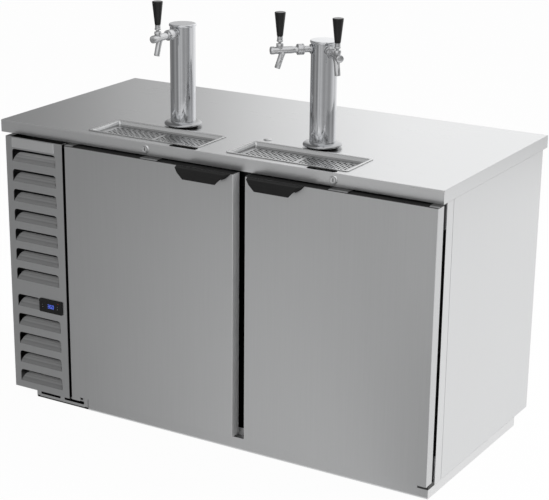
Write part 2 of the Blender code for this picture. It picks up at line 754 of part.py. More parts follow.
def make_worktop():
    """The folded sheet on top: a shallow tray upside down, cut out for what stands in it."""
    back = LIP_Y + TOP_DEPTH
    top = box((TOP_LEFT, TOP_RIGHT), (LIP_Y, back), (LIP_BOTTOM, TOP_HEIGHT))
    top = beveled(top, TOP_SHEET / 2, lambda edge: min(v.co.z for v in edge.verts) > TOP_UNDER, 2)
    under = box(
        (TOP_LEFT + TOP_SHEET, TOP_RIGHT - TOP_SHEET),
        (LIP_Y + TOP_SHEET, back - TOP_SHEET),
        (LIP_BOTTOM - OVERRUN, TOP_UNDER),
    )
    through = (TOP_UNDER - OVERRUN, TOP_HEIGHT + OVERRUN)
    holes = []
    inset = TRAY_FLANGE - TRAY_SHEET - TRAY_FIT
    for x in TRAYS.values():
        outline = rounded(
            span(x, TRAY_WIDTH - 2 * inset), (TRAY_FRONT_Y + inset, TRAY_BACK_Y - inset), TRAY_CORNER / 2
        )
        holes.append(prism(outline, "z", *through))
    for x in TOWERS.values():
        holes.append(rod((x, TOWER_Y), "z", *through, DUCT_RADIUS))
    for x in LIFT_SLOTS:
        outline = rounded(
            span(x, LIFT_SLOT_LENGTH),
            span(LIP_Y + LIFT_SLOT_CENTER, LIFT_SLOT_WIDTH),
            LIFT_SLOT_WIDTH / 2 - GAP,
        )
        holes.append(prism(outline, "z", *through))
    plug = (TOP_LEFT + TOP_WIDTH * PLUG_CENTER_SHARE, LIP_Y + PLUG_SETBACK)
    holes.append(rod(plug, "z", *through, PLUG_STEM_RADIUS + GAP, STEPS_SMALL))
    for x in LOCKS.values():
        holes.append(
            rod((x, LOCK_Z), "y", LIP_Y - OVERRUN, LIP_Y + TOP_SHEET + OVERRUN, BARREL_RADIUS + GAP)
        )
    piece("worktop", cut(top, under, combined(holes)), STEEL)

    stem_top = TOP_HEIGHT + GAP + PLUG_HEAD_HEIGHT / 2
    stem = rod(plug, "z", TOP_HEIGHT - PLUG_STEM_LENGTH, stem_top, PLUG_STEM_RADIUS, STEPS_SMALL)
    crown_share = 0.72
    head = turned(
        [
            (PLUG_HEAD_RADIUS, 0.0),
            (PLUG_HEAD_RADIUS, PLUG_HEAD_HEIGHT / 3),
            (PLUG_HEAD_RADIUS * crown_share, PLUG_HEAD_HEIGHT),
        ]
    )
    head = moved(head, Matrix.Translation((plug[0], plug[1], TOP_HEIGHT + GAP)))
    piece("hole_plug", joined(head, stem), STEEL)


def louver_tops():
    """The top edge of each louver: a run above the display and a run below it."""
    above = [LOUVER_FIRST_TOP - i * LOUVER_PITCH for i in range(LOUVERS_ABOVE)]
    start = above[-1] - LOUVER_BREAK
    return above + [start - i * LOUVER_PITCH for i in range(LOUVERS_BELOW)]


def vane_mesh(left, right, low, high, front):
    """A vane that leaves the sheet at its foot and curves inwards, narrower to the top, where it is rounded.

    With s the share of its height, its depth is LOUVER_DEPTH s^2 and each side comes in by VANE_TAPER s,
    and by an arc of VANE_CORNER over the last stretch.
    """
    height = high - low
    straight = height - VANE_CORNER
    rows = [(-SHEET / 2, 0.0), (0.0, 0.0), (straight / 2, 0.0), (straight, 0.0)]
    for i in range(1, CORNER_STEPS):
        angle = i * math.pi / 2 / CORNER_STEPS
        rows.append((straight + VANE_CORNER * math.sin(angle), VANE_CORNER * (1 - math.cos(angle))))
    rows.append((height, VANE_CORNER))
    rings = []
    for rise, round_off in rows:
        share = max(rise, 0.0) / height
        inset = GAP + VANE_TAPER * share + round_off
        near = front + GAP + LOUVER_DEPTH * share**2
        far = near + SHEET - 2 * GAP
        corners = [(left + inset, near), (right - inset, near), (right - inset, far), (left + inset, far)]
        rings.append([(x, y, low + rise) for x, y in corners])
    return loft(rings)


def make_louver_panel():
    """The front of the machine bay: a sheet with rounded openings, each with a vane that curves inwards."""
    front = DOOR_FRONT
    back = front + SHEET
    sheet = box((BODY_LEFT, PANEL_RIGHT), (front, back), (LOUVER_PANEL_BOTTOM, PANEL_TOP))
    side = box(
        (PANEL_RIGHT - SHEET, PANEL_RIGHT),
        (front, front + LOUVER_PANEL_RETURN),
        (LOUVER_PANEL_BOTTOM, PANEL_TOP),
    )
    foot = box(
        (BODY_LEFT, PANEL_RIGHT),
        (front, front + LOUVER_PANEL_RETURN / 2),
        (LOUVER_PANEL_BOTTOM, LOUVER_PANEL_BOTTOM + SHEET),
    )
    behind = (back + GAP, back + LOUVER_PANEL_RETURN)
    foot = cut(foot, box((BODY_LEFT - OVERRUN, BAY_LEFT + GAP), behind, (0.0, PANEL_TOP)))
    left = BODY_LEFT + LOUVER_LEFT_INSET
    right = left + LOUVER_WIDTH
    housing_x = span(PANEL_RIGHT - CONTROLLER_RIGHT_INSET - CONTROLLER_WIDTH / 2, HOUSING_WIDTH)
    short = housing_x[0] - LOUVER_CORNER
    openings, vanes = [], []
    for index, top in enumerate(louver_tops()):
        end = short if index == LOUVERS_ABOVE else right
        low = top - LOUVER_HEIGHT
        outline = [(left, low), (end, low)]
        for x, start in ((end - LOUVER_CORNER, 0.0), (left + LOUVER_CORNER, math.pi / 2)):
            for i in range(CORNER_STEPS):
                angle = start + i * math.pi / 2 / (CORNER_STEPS - 1)
                z = top - LOUVER_CORNER + LOUVER_CORNER * math.sin(angle)
                outline.append((x + LOUVER_CORNER * math.cos(angle), z))
        openings.append(prism(outline, "y", front - OVERRUN, back + OVERRUN))
        vanes.append(vane_mesh(left, end, low, top - LOUVER_SLIT, front))
    hole = box(
        (housing_x[0] - GAP, housing_x[1] + GAP),
        (front - OVERRUN, back + OVERRUN),
        span(CONTROLLER_CENTER_HEIGHT, HOUSING_HEIGHT + 2 * GAP),
    )
    panel = shaped(
        sheet,
        ("UNION", side),
        ("UNION", foot),
        ("DIFFERENCE", combined(openings + [hole])),
        ("UNION", combined(vanes)),
    )
    piece("louver_panel", panel, STEEL)

    plate_left = BODY_LEFT + PLATE_LEFT_INSET
    plate_top = PANEL_TOP - PLATE_TOP_INSET
    plate = box(
        beside(plate_left, PLATE_WIDTH),
        (front - GAP - PLATE_THICK, front - GAP),
        (plate_top - PLATE_HEIGHT, plate_top),
    )
    piece("name_plate", plate, STEEL)

    middle = sum(housing_x) / 2
    bezel_x = span(middle, CONTROLLER_WIDTH)
    bezel_z = span(CONTROLLER_CENTER_HEIGHT, CONTROLLER_HEIGHT)
    face = front - GAP - CONTROLLER_PROUD
    bezel = prism(rounded(bezel_x, bezel_z, CONTROLLER_CORNER, 2), "y", face, front - GAP)
    housing = box(
        housing_x, (front - 2 * GAP, front + HOUSING_DEPTH), span(CONTROLLER_CENTER_HEIGHT, HOUSING_HEIGHT)
    )
    window = box(
        (bezel_x[0] + WINDOW_BORDER, bezel_x[1] - WINDOW_BORDER),
        (face - OVERRUN, face + WINDOW_DEPTH),
        (bezel_z[0] + WINDOW_BORDER, bezel_z[1] - WINDOW_BORDER),
    )
    body = shaped(bezel, ("UNION", housing), ("DIFFERENCE", window))
    piece("temperature_controller", body, BLACK_PLASTIC)


def frame_outline(x, z, inset):
    return [
        (x[0] + inset, z[0] + inset),
        (x[1] - inset, z[0] + inset),
        (x[1] - inset, z[1] - inset),
        (x[0] + inset, z[1] - inset),
    ]


def make_door(side):
    """A foamed door with its black top cap, gasket, hooded handle and strike plate, on one vertical axis."""
    x = beside(DOORS[side], DOOR_WIDTH)
    z = (DOOR_BOTTOM, DOOR_TOP)
    sign = DOOR_SIDE[side]
    outer = x[1] if sign > 0 else x[0]
    inner = x[0] if sign > 0 else x[1]
    axis_x = outer - sign * HINGE_INSET
    hinge = joint_empty(side + "_door_hinge", (axis_x, HINGE_Y, DOOR_BOTTOM))

    cap_bottom = z[1] - CAP_HEIGHT
    slab = box(x, (DOOR_FRONT, DOOR_BACK), z)
    slab = beveled(slab, DOOR_EDGE, lambda edge: along(edge, 2), 2)
    pocket_x = (x[0] + DOOR_SKIN, x[1] - DOOR_SKIN)
    shelf = box(pocket_x, (DOOR_FRONT + DOOR_SKIN, DOOR_BACK + OVERRUN), (cap_bottom, z[1] + OVERRUN))
    liner = box(
        (x[0] + LINER_INSET, x[1] - LINER_INSET),
        (DOOR_BACK - GAP, DOOR_BACK + LINER_RISE),
        (z[0] + LINER_INSET, z[1] - LINER_INSET),
    )
    pins = rod(
        (axis_x, HINGE_Y), "z", z[0] - OVERRUN, z[0] + HINGE_PIN_REACH + GAP, HINGE_PIN_RADIUS + RUNNING_GAP
    )
    top_pin = rod(
        (axis_x, HINGE_Y), "z", z[1] - HINGE_PIN_REACH - GAP, z[1] + OVERRUN, HINGE_PIN_RADIUS + RUNNING_GAP
    )
    slab = shaped(slab, ("DIFFERENCE", shelf), ("UNION", liner), ("DIFFERENCE", combined([pins, top_pin])))
    piece(side + "_door", slab, STEEL, hinge)

    cap_x = (pocket_x[0] + GAP, pocket_x[1] - GAP)
    cap = box(cap_x, (DOOR_FRONT + DOOR_SKIN + GAP, DOOR_BACK), (cap_bottom + GAP, z[1]))
    cap_ends = (cap_bottom - OVERRUN, z[1] + OVERRUN)
    cap_pin = rod((axis_x, HINGE_Y), "z", *cap_ends, HINGE_PIN_RADIUS + RUNNING_GAP)
    piece(side + "_door_cap", cut(cap, cap_pin), BLACK_PLASTIC, hinge)

    rings = []
    for inset, y in (
        (HINGE_INSET, DOOR_BACK + GAP),
        (HINGE_INSET, CARCASS_FRONT - GAP),
        (HINGE_INSET + GASKET_WIDTH, CARCASS_FRONT - GAP),
        (HINGE_INSET + GASKET_WIDTH, DOOR_BACK + GAP),
    ):
        rings.append([(u, y, w) for u, w in frame_outline(x, z, inset)])
    piece(side + "_door_gasket", closed_ring(rings), BLACK_RUBBER, hinge)

    make_handle(side, inner + sign * HANDLE_CENTER_INSET, hinge)
    make_strike(side, hinge)


def closed_ring(rings):
    """A frame whose cross-section goes once round through the rings, which all have equally many points."""
    count = len(rings[0])
    points = [point for ring in rings for point in ring]
    faces = []
    for k in range(len(rings)):
        low, high = k * count, (k + 1) % len(rings) * count
        for i in range(count):
            j = (i + 1) % count
            faces.append((low + i, low + j, high + j, high + i))
    return mesh_from(points, faces)


def make_handle(side, middle, hinge):
    """A black hood on the door's front, open below for the fingers, with a folded face and flared sides."""
    top = DOOR_TOP - HANDLE_TOP_DROP
    root = DOOR_FRONT - GAP

    foot = DOOR_TOP - HANDLE_FOOT_DROP
    low = DOOR_TOP - HANDLE_LOW_DROP
    fold = DOOR_TOP - HANDLE_FOLD_DROP
    fold_y = DOOR_FRONT - HANDLE_FOLD_DEPTH
    low_y = DOOR_FRONT - HANDLE_LOW_DEPTH
    top_y = DOOR_FRONT - HANDLE_TOP_DEPTH

    def hood(shrink, back, lift):
        """Points of the hood, or of the hollow inside it, shrunk by a wall."""
        root_half = HANDLE_ROOT_WIDTH / 2 - shrink
        foot_half = HANDLE_FOOT_WIDTH / 2 - shrink
        low_half = HANDLE_LOW_WIDTH / 2 - shrink
        fold_half = HANDLE_FOLD_WIDTH / 2 - shrink
        top_half = HANDLE_TOP_WIDTH / 2 - shrink
        points = []
        for s in (-1, 1):
            points += [
                (middle + s * root_half, back, top - shrink),
                (middle + s * foot_half, back, foot - lift),
                (middle + s * low_half, low_y + shrink, low - lift),
                (middle + s * fold_half, fold_y + shrink, fold),
                (middle + s * top_half, top_y + shrink, top - shrink),
            ]
        faces = [(0, 1, 2, 4), (2, 3, 4), (5, 9, 7, 6), (7, 9, 8)]
        for i in range(5):
            j = (i + 1) % 5
            faces.append((i, j, j + 5, i + 5))
        return mesh_from(points, faces)

    outside = hood(0.0, root, 0.0)
    inside = hood(HANDLE_WALL, root + OVERRUN, OVERRUN)
    piece(side + "_door_handle", cut(outside, inside), BLACK_PLASTIC, hinge)


def make_strike(side, hinge):
    """A plate on the door's top, whose tongue passes under the lip and takes the lock's cam in a slot."""
    lock = LOCKS[side]
    bottom = DOOR_TOP + GAP
    front = DOOR_FRONT + DOOR_SKIN
    tongue = LIP_Y + TOP_SHEET
    right = lock + STRIKE_START + STRIKE_WIDTH
    outline = [
        (lock + STRIKE_START, front),
        (right, front),
        (right, LIP_Y + STRIKE_REACH),
        (lock - STRIKE_MARGIN, LIP_Y + STRIKE_REACH),
        (lock - STRIKE_MARGIN, tongue),
        (lock + STRIKE_START, tongue),
    ]
    plate = prism(outline, "z", bottom, bottom + STRIKE_THICK)
    sweep = math.hypot(CAM_LENGTH, CAM_WIDTH / 2)
    reach = math.sqrt(sweep**2 - (LOCK_Z - bottom - STRIKE_THICK) ** 2)
    slot = box(
        (lock - CAM_WIDTH / 2 - RUNNING_GAP * 2, lock + reach + RUNNING_GAP * 2),
        span(LIP_Y + BARREL_DEPTH + GAP + CAM_THICK / 2, STRIKE_SLOT_WIDTH),
        (bottom - OVERRUN, bottom + STRIKE_THICK + OVERRUN),
    )
    piece(side + "_strike_plate", cut(plate, slot), STEEL, hinge)


def make_hinges(side):
    """A plate and pin over each door's outer corner, and another under it."""
    x = beside(DOORS[side], DOOR_WIDTH)
    sign = DOOR_SIDE[side]
    outer = x[1] if sign > 0 else x[0]
    axis = (outer - sign * HINGE_INSET, HINGE_Y)
    inner = outer - sign * HINGE_PLATE_WIDTH
    front = DOOR_FRONT + HINGE_FRONT_INSET
    rear = CARCASS_FRONT - GAP
    limit = TOP_RIGHT - TOP_SHEET - GAP

    low, high = DOOR_TOP + GAP, DOOR_TOP + GAP + HINGE_PLATE_THICK
    outline = [(outer, front), (outer, rear), (inner, rear), (inner + sign * HINGE_PLATE_TAPER, front)]
    plate = prism(outline, "z", low, high)
    pin = rod(axis, "z", DOOR_TOP - HINGE_PIN_REACH, high - GAP, HINGE_PIN_RADIUS, STEPS_SMALL)
    leg_x = sorted((inner, min(outer, limit)))
    leg = box(leg_x, (rear - HINGE_PLATE_THICK, rear), (low, low + HINGE_LEG))
    piece(side + "_top_hinge", joined(plate, pin, leg), STEEL)

    block_top = DOOR_BOTTOM - GAP
    ends = sorted((outer, inner))
    block_front = LIP_Y - BASE_FRONT_STAND_OUT
    block = box(ends, (block_front, rear), (BASE_HEIGHT + GAP, block_top))
    tongue = prism(outline, "z", block_top - HINGE_PLATE_THICK, block_top)
    pin_ends = (block_top - HINGE_PLATE_THICK + GAP, DOOR_BOTTOM + HINGE_PIN_REACH)
    low_pin = rod(axis, "z", *pin_ends, HINGE_PIN_RADIUS, STEPS_SMALL)
    piece(side + "_bottom_hinge", joined(block, tongue, low_pin), STEEL)


def make_lock(side):
    """A cam lock in the lip: its barrel stays, and its plug turns the cam down behind the lip."""
    x = LOCKS[side]
    axis = (x, LOCK_Z)
    face = LIP_Y - GAP - BEZEL_THICK
    barrel_end = LIP_Y + BARREL_DEPTH
    bezel = rod(axis, "y", face, LIP_Y - GAP, BEZEL_RADIUS)
    body = rod(axis, "y", face + BEZEL_THICK / 2, barrel_end, BARREL_RADIUS)
    bore = rod(axis, "y", face - OVERRUN, barrel_end + OVERRUN, PLUG_RADIUS + RUNNING_GAP)
    piece(side + "_lock_barrel", shaped(bezel, ("UNION", body), ("DIFFERENCE", bore)), CHROME)

    turn = joint_empty(side + "_lock_axis", (x, LIP_Y, LOCK_Z))
    cam_front = barrel_end + GAP
    plug = rod(axis, "y", face - PLUG_PROUD, cam_front + CAM_THICK / 2, PLUG_RADIUS)
    cam = prism(
        rounded((x - PLUG_RADIUS, x + CAM_LENGTH), span(LOCK_Z, CAM_WIDTH), CAM_WIDTH / 4, 2),
        "y",
        cam_front,
        cam_front + CAM_THICK,
    )
    keyway = box(
        span(x, KEYWAY_WIDTH), (face - PLUG_PROUD - OVERRUN, face + KEYWAY_DEPTH), span(LOCK_Z, KEYWAY_HEIGHT)
    )
    piece(side + "_lock_plug", shaped(plug, ("UNION", cam), ("DIFFERENCE", keyway)), CHROME, turn)


def tray_ring(x, inset, z, radius):
    """One level of a tray: a rounded rectangle drawn in from the rim."""
    outline = rounded(
        span(x, TRAY_WIDTH - 2 * inset), (TRAY_FRONT_Y + inset, TRAY_BACK_Y - inset), radius
    )
    return [(u, v, z) for u, v in outline]


def make_tray(side):
    """A pressed drip tray with a ledge for its grate and a drain, and the slotted grate that lifts out."""
    x = TRAYS[side]
    rim = TOP_HEIGHT + GAP
    wall = TRAY_SHEET
    top = rim + wall
    ledge = TOP_HEIGHT - TRAY_STEP
    floor = TOP_HEIGHT - TRAY_BOTTOM + wall
    side_in = TRAY_FLANGE + TRAY_SLOPE
    pan_in = side_in + TRAY_LEDGE
    corner = TRAY_CORNER
    outside = [
        tray_ring(x, 0.0, rim, corner),
        tray_ring(x, TRAY_FLANGE - wall, rim, corner),
        tray_ring(x, side_in - wall, ledge - wall, corner),
        tray_ring(x, pan_in - wall, ledge - wall, corner),
        tray_ring(x, pan_in - wall, floor - wall, corner),
    ]
    inside = [
        tray_ring(x, pan_in, floor, corner),
        tray_ring(x, pan_in, ledge, corner),
        tray_ring(x, side_in, ledge, corner),
        tray_ring(x, TRAY_FLANGE, top, corner),
        tray_ring(x, wall / 2, top, corner),
        tray_ring(x, 0.0, rim + wall / 2, corner),
    ]
    rings = outside + inside
    count = len(rings[0])
    points = [point for ring in rings for point in ring]
    last_out, first_in = len(outside) - 1, len(outside)
    faces = [
        tuple(range(last_out * count, (last_out + 1) * count)),
        tuple(range(first_in * count, (first_in + 1) * count)),
    ]
    for k in range(len(rings)):
        if k == last_out:
            continue
        low, high = k * count, (k + 1) % len(rings) * count
        for i in range(count):
            j = (i + 1) % count
            faces.append((low + i, low + j, high + j, high + i))
    tray = mesh_from(points, faces)
    drain = (x, (TRAY_FRONT_Y + TRAY_BACK_Y) / 2)
    spigot = rod(drain, "z", floor - wall - SPIGOT_LENGTH, floor - wall / 2, SPIGOT_RADIUS, STEPS_SMALL)
    bore = rod(drain, "z", floor - SPIGOT_LENGTH - OVERRUN, floor + OVERRUN, SPIGOT_BORE, STEPS_SMALL)
    piece(side + "_drip_tray", shaped(tray, ("UNION", spigot), ("DIFFERENCE", bore)), STEEL)

    lift = joint_empty(side + "_grate_lift", (x, drain[1], ledge))
    grate_in = side_in + 2 * GAP
    grate_x = span(x, TRAY_WIDTH - 2 * grate_in)
    grate_y = (TRAY_FRONT_Y + grate_in, TRAY_BACK_Y - grate_in)
    bottom = ledge + GAP
    plate = prism(rounded(grate_x, grate_y, corner, 2), "z", bottom, bottom + GRATE_SHEET)
    field_width = (grate_x[1] - grate_x[0] - 2 * GRATE_BORDER - GRATE_BAR) / 2
    field_depth = grate_y[1] - grate_y[0] - 2 * GRATE_BORDER
    pitch_x = field_width / GRATE_COLUMNS
    pitch_y = field_depth / GRATE_ROWS
    slots = []
    for start in (grate_x[0] + GRATE_BORDER, grate_x[1] - GRATE_BORDER - field_width):
        for column in range(GRATE_COLUMNS):
            center_x = start + (column + 0.5) * pitch_x
            offset_share = 0.0 if column % 2 else 0.5
            rows = GRATE_ROWS if column % 2 else GRATE_ROWS - 1
            for row in range(rows):
                center_y = grate_y[0] + GRATE_BORDER + (row + 0.5 + offset_share) * pitch_y
                slots.append(
                    box(
                        span(center_x, GRATE_SLOT_WIDTH),
                        span(center_y, pitch_y - GRATE_SLOT_WIDTH),
                        (bottom - OVERRUN, bottom + GRATE_SHEET + OVERRUN),
                    )
                )
    piece(side + "_grate", cut(plate, combined(slots)), STEEL, lift)


def make_tower(side):
    """A polished column with a domed flange and a flat cap, on a black gasket, bored for its shanks."""
    x = TOWERS[side]
    low = TOWER_GASKET_THICK + 2 * GAP
    edge = low + FLANGE_EDGE
    dome = [
        (
            TOWER_RADIUS + (FLANGE_RADIUS - TOWER_RADIUS) * math.cos(i * math.pi / 2 / CORNER_STEPS),
            edge + FLANGE_RISE * math.sin(i * math.pi / 2 / CORNER_STEPS),
        )
        for i in range(CORNER_STEPS + 1)
    ]
    cap_edge = TOWER_CAP_HEIGHT / 4
    profile = [(FLANGE_RADIUS, low)] + dome + [
        (TOWER_RADIUS, TOWER_TOP),
        (TOWER_CAP_RADIUS, TOWER_TOP),
        (TOWER_CAP_RADIUS, TOWER_TOP + TOWER_CAP_HEIGHT - cap_edge),
        (TOWER_CAP_RADIUS - cap_edge, TOWER_TOP + TOWER_CAP_HEIGHT),
    ]
    column = turned(profile, STEPS_LARGE)
    bore = rod((0.0, 0.0), "z", low - OVERRUN, TOWER_TOP, TOWER_RADIUS - TOWER_WALL, STEPS_LARGE)
    holes = []
    for _, tower, angle in FAUCETS:
        if tower == side:
            hole = rod((0.0, FAUCET_AXIS), "y", -FLANGE_RADIUS, 0.0, SHANK_RADIUS + GAP)
            holes.append(moved(hole, Matrix.Rotation(angle, 4, "Z")))
    column = cut(column, bore, *holes)
    tower_object = piece(side + "_tower", column, CHROME)
    tower_object.location = (x, TOWER_Y, TOP_HEIGHT)

    gasket_ends = (GAP, GAP + TOWER_GASKET_THICK)
    gasket = turned([(TOWER_GASKET_RADIUS, height) for height in gasket_ends], STEPS_LARGE)
    opening = rod((0.0, 0.0), "z", -OVERRUN, TOWER_GASKET_THICK + OVERRUN, DUCT_RADIUS)
    gasket_object = piece(side + "_tower_gasket", cut(gasket, opening), BLACK_RUBBER)
    gasket_object.location = (x, TOWER_Y, TOP_HEIGHT)


def hexagon_bar(axis_height, start, end, radius):
    """A hexagonal bar along -Y, its flats up and down."""
    outline = [
        (radius * math.cos(math.radians(60 * i)), axis_height + radius * math.sin(math.radians(60 * i)))
        for i in range(6)
    ]
    return prism(outline, "y", -end, -start)


def out_bar(start, end, radius, steps=STEPS_MEDIUM):
    """A round bar along a faucet's axis, between two distances from the tower's axis."""
    return rod((0.0, FAUCET_AXIS), "y", -end, -start, radius, steps)


def shank_mesh():
    """The threaded tube through the tower's wall, with a nut inside and a washer outside."""
    tube = out_bar(SHANK_START, SHANK_END, SHANK_RADIUS)
    washer_start = TOWER_RADIUS + GAP
    washer = out_bar(washer_start, washer_start + SHANK_WASHER_THICK, SHANK_WASHER_RADIUS)
    nut = hexagon_bar(FAUCET_AXIS, SHANK_NUT_START, SHANK_NUT_START + SHANK_NUT_THICK, SHANK_NUT_RADIUS)
    bore = out_bar(0.0, SHANK_END + OVERRUN, SHANK_RADIUS / 2, STEPS_SMALL)
    return shaped(tube, ("UNION", washer), ("UNION", nut), ("DIFFERENCE", bore))


def faucet_mesh():
    """The faucet's body with its coupling nut, front cap, bonnet and leaning spout, along -Y."""
    front_cap = FAUCET_END - FAUCET_CAP_LENGTH
    stations = [
        (COLLAR_START, COLLAR_RADIUS - COLLAR_CHAMFER),
        (COLLAR_START + COLLAR_CHAMFER, COLLAR_RADIUS),
        (COLLAR_END - COLLAR_CHAMFER, COLLAR_RADIUS),
        (COLLAR_END, COLLAR_RADIUS - COLLAR_CHAMFER),
        (COLLAR_END, FAUCET_NECK_RADIUS),
        (COLLAR_END + FAUCET_NECK_LENGTH, FAUCET_NECK_RADIUS),
        (COLLAR_END + 2 * FAUCET_NECK_LENGTH, FAUCET_BODY_RADIUS),
        (front_cap, FAUCET_BODY_RADIUS),
        (front_cap, FAUCET_CAP_RADIUS),
        (FAUCET_END - FAUCET_NOSE, FAUCET_CAP_RADIUS),
        (FAUCET_END, FAUCET_CAP_RADIUS - FAUCET_NOSE),
    ]
    body = turned([(radius, reach) for reach, radius in stations])
    along_axis = Matrix.Translation((0.0, 0.0, FAUCET_AXIS)) @ Matrix.Rotation(math.pi / 2, 4, "X")
    body = moved(body, along_axis)

    root = Vector((0.0, -SPOUT_ROOT, FAUCET_AXIS))
    tip = Vector((0.0, -SPOUT_TIP, SPOUT_TIP_HEIGHT))
    line = tip - root
    lean = line.to_track_quat("Z", "Y").to_matrix().to_4x4()
    place = Matrix.Translation(root) @ lean
    root_share = 0.32
    spout = turned(
        [(SPOUT_ROOT_RADIUS, 0.0), (SPOUT_RADIUS, line.length * root_share), (SPOUT_RADIUS, line.length)],
        STEPS_SMALL,
    )
    mouth_ends = (line.length - SPOUT_BORE_DEPTH, line.length + OVERRUN)
    mouth = turned([(SPOUT_BORE, height) for height in mouth_ends], STEPS_SMALL)

    bonnet = rod((0.0, -LEVER_REACH), "z", FAUCET_AXIS, BONNET_TOP, BONNET_RADIUS)
    socket_bottom = PIVOT_Z - BALL_RADIUS - RUNNING_GAP
    socket = rod((0.0, -LEVER_REACH), "z", socket_bottom, BONNET_TOP + OVERRUN, BALL_RADIUS + RUNNING_GAP)
    return shaped(
        body,
        ("UNION", moved(spout, place)),
        ("UNION", bonnet),
        ("DIFFERENCE", combined([moved(mouth, place), socket])),
    )


def lever_mesh():
    """The lever: a ball in the bonnet, a stem and a ferrule, with its pivot at the origin."""
    foot = FERRULE_START - PIVOT_Z
    head = FERRULE_END - PIVOT_Z
    meridian_steps = 6
    meet = math.asin(STEM_RADIUS / BALL_RADIUS)
    ball = []
    for i in range(meridian_steps + 1):
        angle = math.pi - i * (math.pi - meet) / meridian_steps
        ball.append((BALL_RADIUS * math.sin(angle) if i else 0.0, BALL_RADIUS * math.cos(angle)))
    round_edge = FERRULE_RADIUS / 6
    profile = ball + [
        (STEM_RADIUS, foot),
        (FERRULE_RADIUS - round_edge, foot),
        (FERRULE_RADIUS, foot + round_edge),
        (FERRULE_RADIUS, head - round_edge),
        (FERRULE_RADIUS - round_edge, head),
    ]
    return turned(profile, STEPS_SMALL)


def knob_mesh():
    """The tapered black handle screwed on the ferrule, with its pivot at the origin."""
    foot = FERRULE_END + GAP - PIVOT_Z
    head = KNOB_END - PIVOT_Z
    profile = [
        (KNOB_ROOT_RADIUS, foot),
        (KNOB_TIP_RADIUS, head - KNOB_ROUND),
        (KNOB_TIP_RADIUS - KNOB_ROUND, head),
    ]
    return turned(profile)


def make_faucets():
    """Each faucet on its shank, and its lever on an empty at the lever's pivot."""
    shapes = {"shank": shank_mesh(), "faucet": faucet_mesh(), "lever": lever_mesh(), "knob": knob_mesh()}
    for name, tower, angle in FAUCETS:
        origin = Vector((TOWERS[tower], TOWER_Y, TOP_HEIGHT))
        shank = piece(name + "_shank", shapes["shank"].copy(), CHROME)
        faucet = piece(name + "_faucet", shapes["faucet"].copy(), CHROME)
        for fixed in (shank, faucet):
            fixed.location = origin
            fixed.rotation_euler.z = angle
        reach = Matrix.Rotation(angle, 4, "Z") @ Vector((0.0, -LEVER_REACH, PIVOT_Z))
        pivot = joint_empty(name + "_tap_pivot", origin + reach)
        pivot.rotation_euler.z = angle
        for part, finish in (("lever", CHROME), ("knob", BLACK_PLASTIC)):
            moving = piece(name + "_tap_" + part, shapes[part].copy(), finish)
            moving.parent = pivot


def blade_meshes(radius, width, length):
    """Fan blades round Z: flat paddles, twisted and rooted inside the hub."""
    outline = rounded(span(0.0, width), (FAN_ROOT_RADIUS, radius), width / 4, 2)
    blades = []
    for i in range(FAN_BLADES):
        blade = prism(outline, "z", -FAN_BLADE_THICK / 2, FAN_BLADE_THICK / 2)
        twist = Matrix.Rotation(FAN_BLADE_TWIST, 4, "Y")
        turn = Matrix.Rotation(2 * math.pi * i / FAN_BLADES, 4, "Z")
        lift = Matrix.Translation((0.0, 0.0, length / 2))
        blades.append(moved(blade, turn @ lift @ twist))
    return blades


def fan_mesh(radius, length):
    """A hub with blades, turned about Z, bored for its motor's shaft."""
    nose = (FAN_NOSE_RADIUS, length + FAN_BLADE_THICK)
    hub = turned([(FAN_HUB_RADIUS, 0.0), (FAN_HUB_RADIUS, length), nose])
    width = FAN_BLADE_WIDTH * radius / FAN_RADIUS
    bore = rod((0.0, 0.0), "z", -OVERRUN, FAN_BORE_DEPTH, SHAFT_RADIUS + RUNNING_GAP, STEPS_SMALL)
    steps = [("UNION", blade) for blade in blade_meshes(radius, width, length)]
    return shaped(hub, *steps, ("DIFFERENCE", bore))


